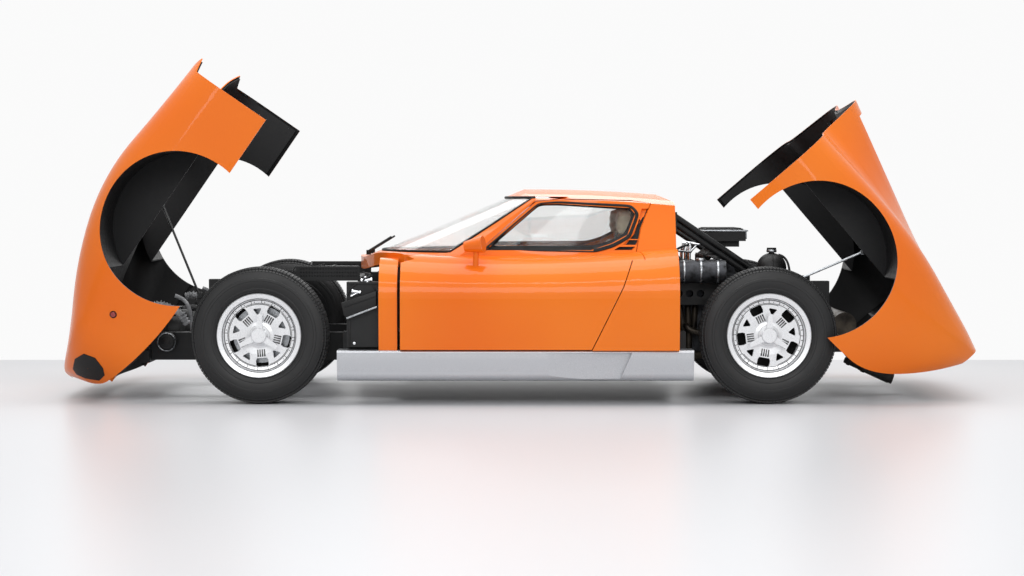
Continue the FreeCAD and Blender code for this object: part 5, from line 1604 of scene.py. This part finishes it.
# Soft lights: name, place, turn about X in degrees, length, width and power.
LIGHTS = (("top_softbox", (0, -0.4, 4.6), 0, 7.0, 3.0, 190),
          ("side_softbox", (0, -7.5, 3.6), 66, 9.0, 1.9, 190),
          ("side_strip", (0, -5.6, 5.4), 47, 9.0, 0.35, 60),
          ("back_softbox", (0, 6.5, 4.0), -60, 8.0, 2.0, 90))


class COUPE_OT_stage(bpy.types.Operator):
    """Sets the floor, the soft lights, the sky and the camera"""

    bl_idname = "coupe.stage"
    bl_label = "Stage"

    def execute(self, context):
        settings = context.scene.coupe
        floor = start("plane", "floor", size=80, location=(0, 0, -0.0005))
        material = new_material("studio_floor", "#DADBDE", 0.33, specular_ior_level=0.28)
        tree, surface = shader_of(material)
        place = add_node(tree, "ShaderNodeTexCoord")
        split = add_node(tree, "ShaderNodeSeparateXYZ", {}, {"Vector": place.outputs["Object"]})
        wall = add_node(tree, "ShaderNodeMapRange", {"From Min": BACKDROP_Y[0], "From Max": BACKDROP_Y[1]},
                        {"Value": split.outputs["Y"]})
        white = add_node(tree, "ShaderNodeEmission", {"Color": WHITE, "Strength": BACKDROP})
        blend = add_node(tree, "ShaderNodeMixShader", {},
                         {0: wall.outputs["Result"], 1: surface.outputs["BSDF"],
                          2: white.outputs["Emission"]})
        tree.links.new(blend.outputs["Shader"], tree.nodes["Material Output"].inputs["Surface"])
        floor.data.materials.append(material)

        for name, place_at, tilt, size_x, size_y, power in LIGHTS:
            bpy.ops.object.light_add(type="AREA", location=place_at, rotation=(math.radians(tilt), 0, 0))
            light = context.object
            light.name = name
            light.data.shape = "RECTANGLE"
            light.data.size = size_x
            light.data.size_y = size_y
            light.data.energy = power

        world = bpy.data.worlds.new("studio")
        world.use_nodes = True
        context.scene.world = world
        tree = world.node_tree
        soft = tree.nodes["Background"]
        soft.inputs["Color"].default_value = WHITE
        soft.inputs["Strength"].default_value = SKY
        seen = add_node(tree, "ShaderNodeBackground", {"Color": WHITE, "Strength": BACKDROP})
        rays = add_node(tree, "ShaderNodeLightPath")
        glossy = add_node(tree, "ShaderNodeMath", {"operation": "MAXIMUM"},
                          {0: rays.outputs["Is Camera Ray"], 1: rays.outputs["Is Glossy Ray"]})
        either = add_node(tree, "ShaderNodeMath", {"operation": "MAXIMUM"},
                          {0: glossy.outputs["Value"], 1: rays.outputs["Is Transmission Ray"]})
        choice = add_node(tree, "ShaderNodeMixShader", {},
                          {0: either.outputs["Value"], 1: soft.outputs["Background"],
                           2: seen.outputs["Background"]})
        tree.links.new(choice.outputs["Shader"], tree.nodes["World Output"].inputs["Surface"])
        context.scene.view_settings.view_transform = "Standard"

        place = at(settings.camera_station, -settings.camera_distance, settings.camera_height)
        bpy.ops.object.camera_add(location=place, rotation=(math.radians(CAMERA_TILT), 0, 0))
        camera = context.object
        camera.name = "camera"
        camera.data.lens = LENS
        camera.data.sensor_width = 36.0
        camera.data.clip_end = 200
        context.scene.camera = camera
        return {"FINISHED"}


class COUPE_PT_panel(bpy.types.Panel):
    """Lists the coupe's settings and steps"""

    bl_idname = "COUPE_PT_panel"
    bl_label = "Coupe"
    bl_space_type = "VIEW_3D"
    bl_region_type = "UI"
    bl_category = "Coupe"

    def draw(self, context):
        for name in CoupeSettings.__annotations__:
            self.layout.prop(context.scene.coupe, name)
        for step in STEPS:
            self.layout.operator(step.bl_idname)


STEPS = (COUPE_OT_finishes, COUPE_OT_tyres, COUPE_OT_window_frames, COUPE_OT_wheels, COUPE_OT_seats,
         COUPE_OT_cabin, COUPE_OT_springs, COUPE_OT_engine, COUPE_OT_front_bay, COUPE_OT_gills,
         COUPE_OT_lids, COUPE_OT_tail, COUPE_OT_stage)
CLASSES = (CoupeSettings, *STEPS, COUPE_PT_panel)


def register():
    for item in CLASSES:
        bpy.utils.register_class(item)
    bpy.types.Scene.coupe = bpy.props.PointerProperty(type=CoupeSettings)


def unregister():
    del bpy.types.Scene.coupe
    for item in reversed(CLASSES):
        bpy.utils.unregister_class(item)


def main():
    """Registers the add-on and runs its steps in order."""
    register()
    for step in STEPS:
        group, name = step.bl_idname.split(".")
        getattr(getattr(bpy.ops, group), name)()


if __name__ == "__main__":
    main()
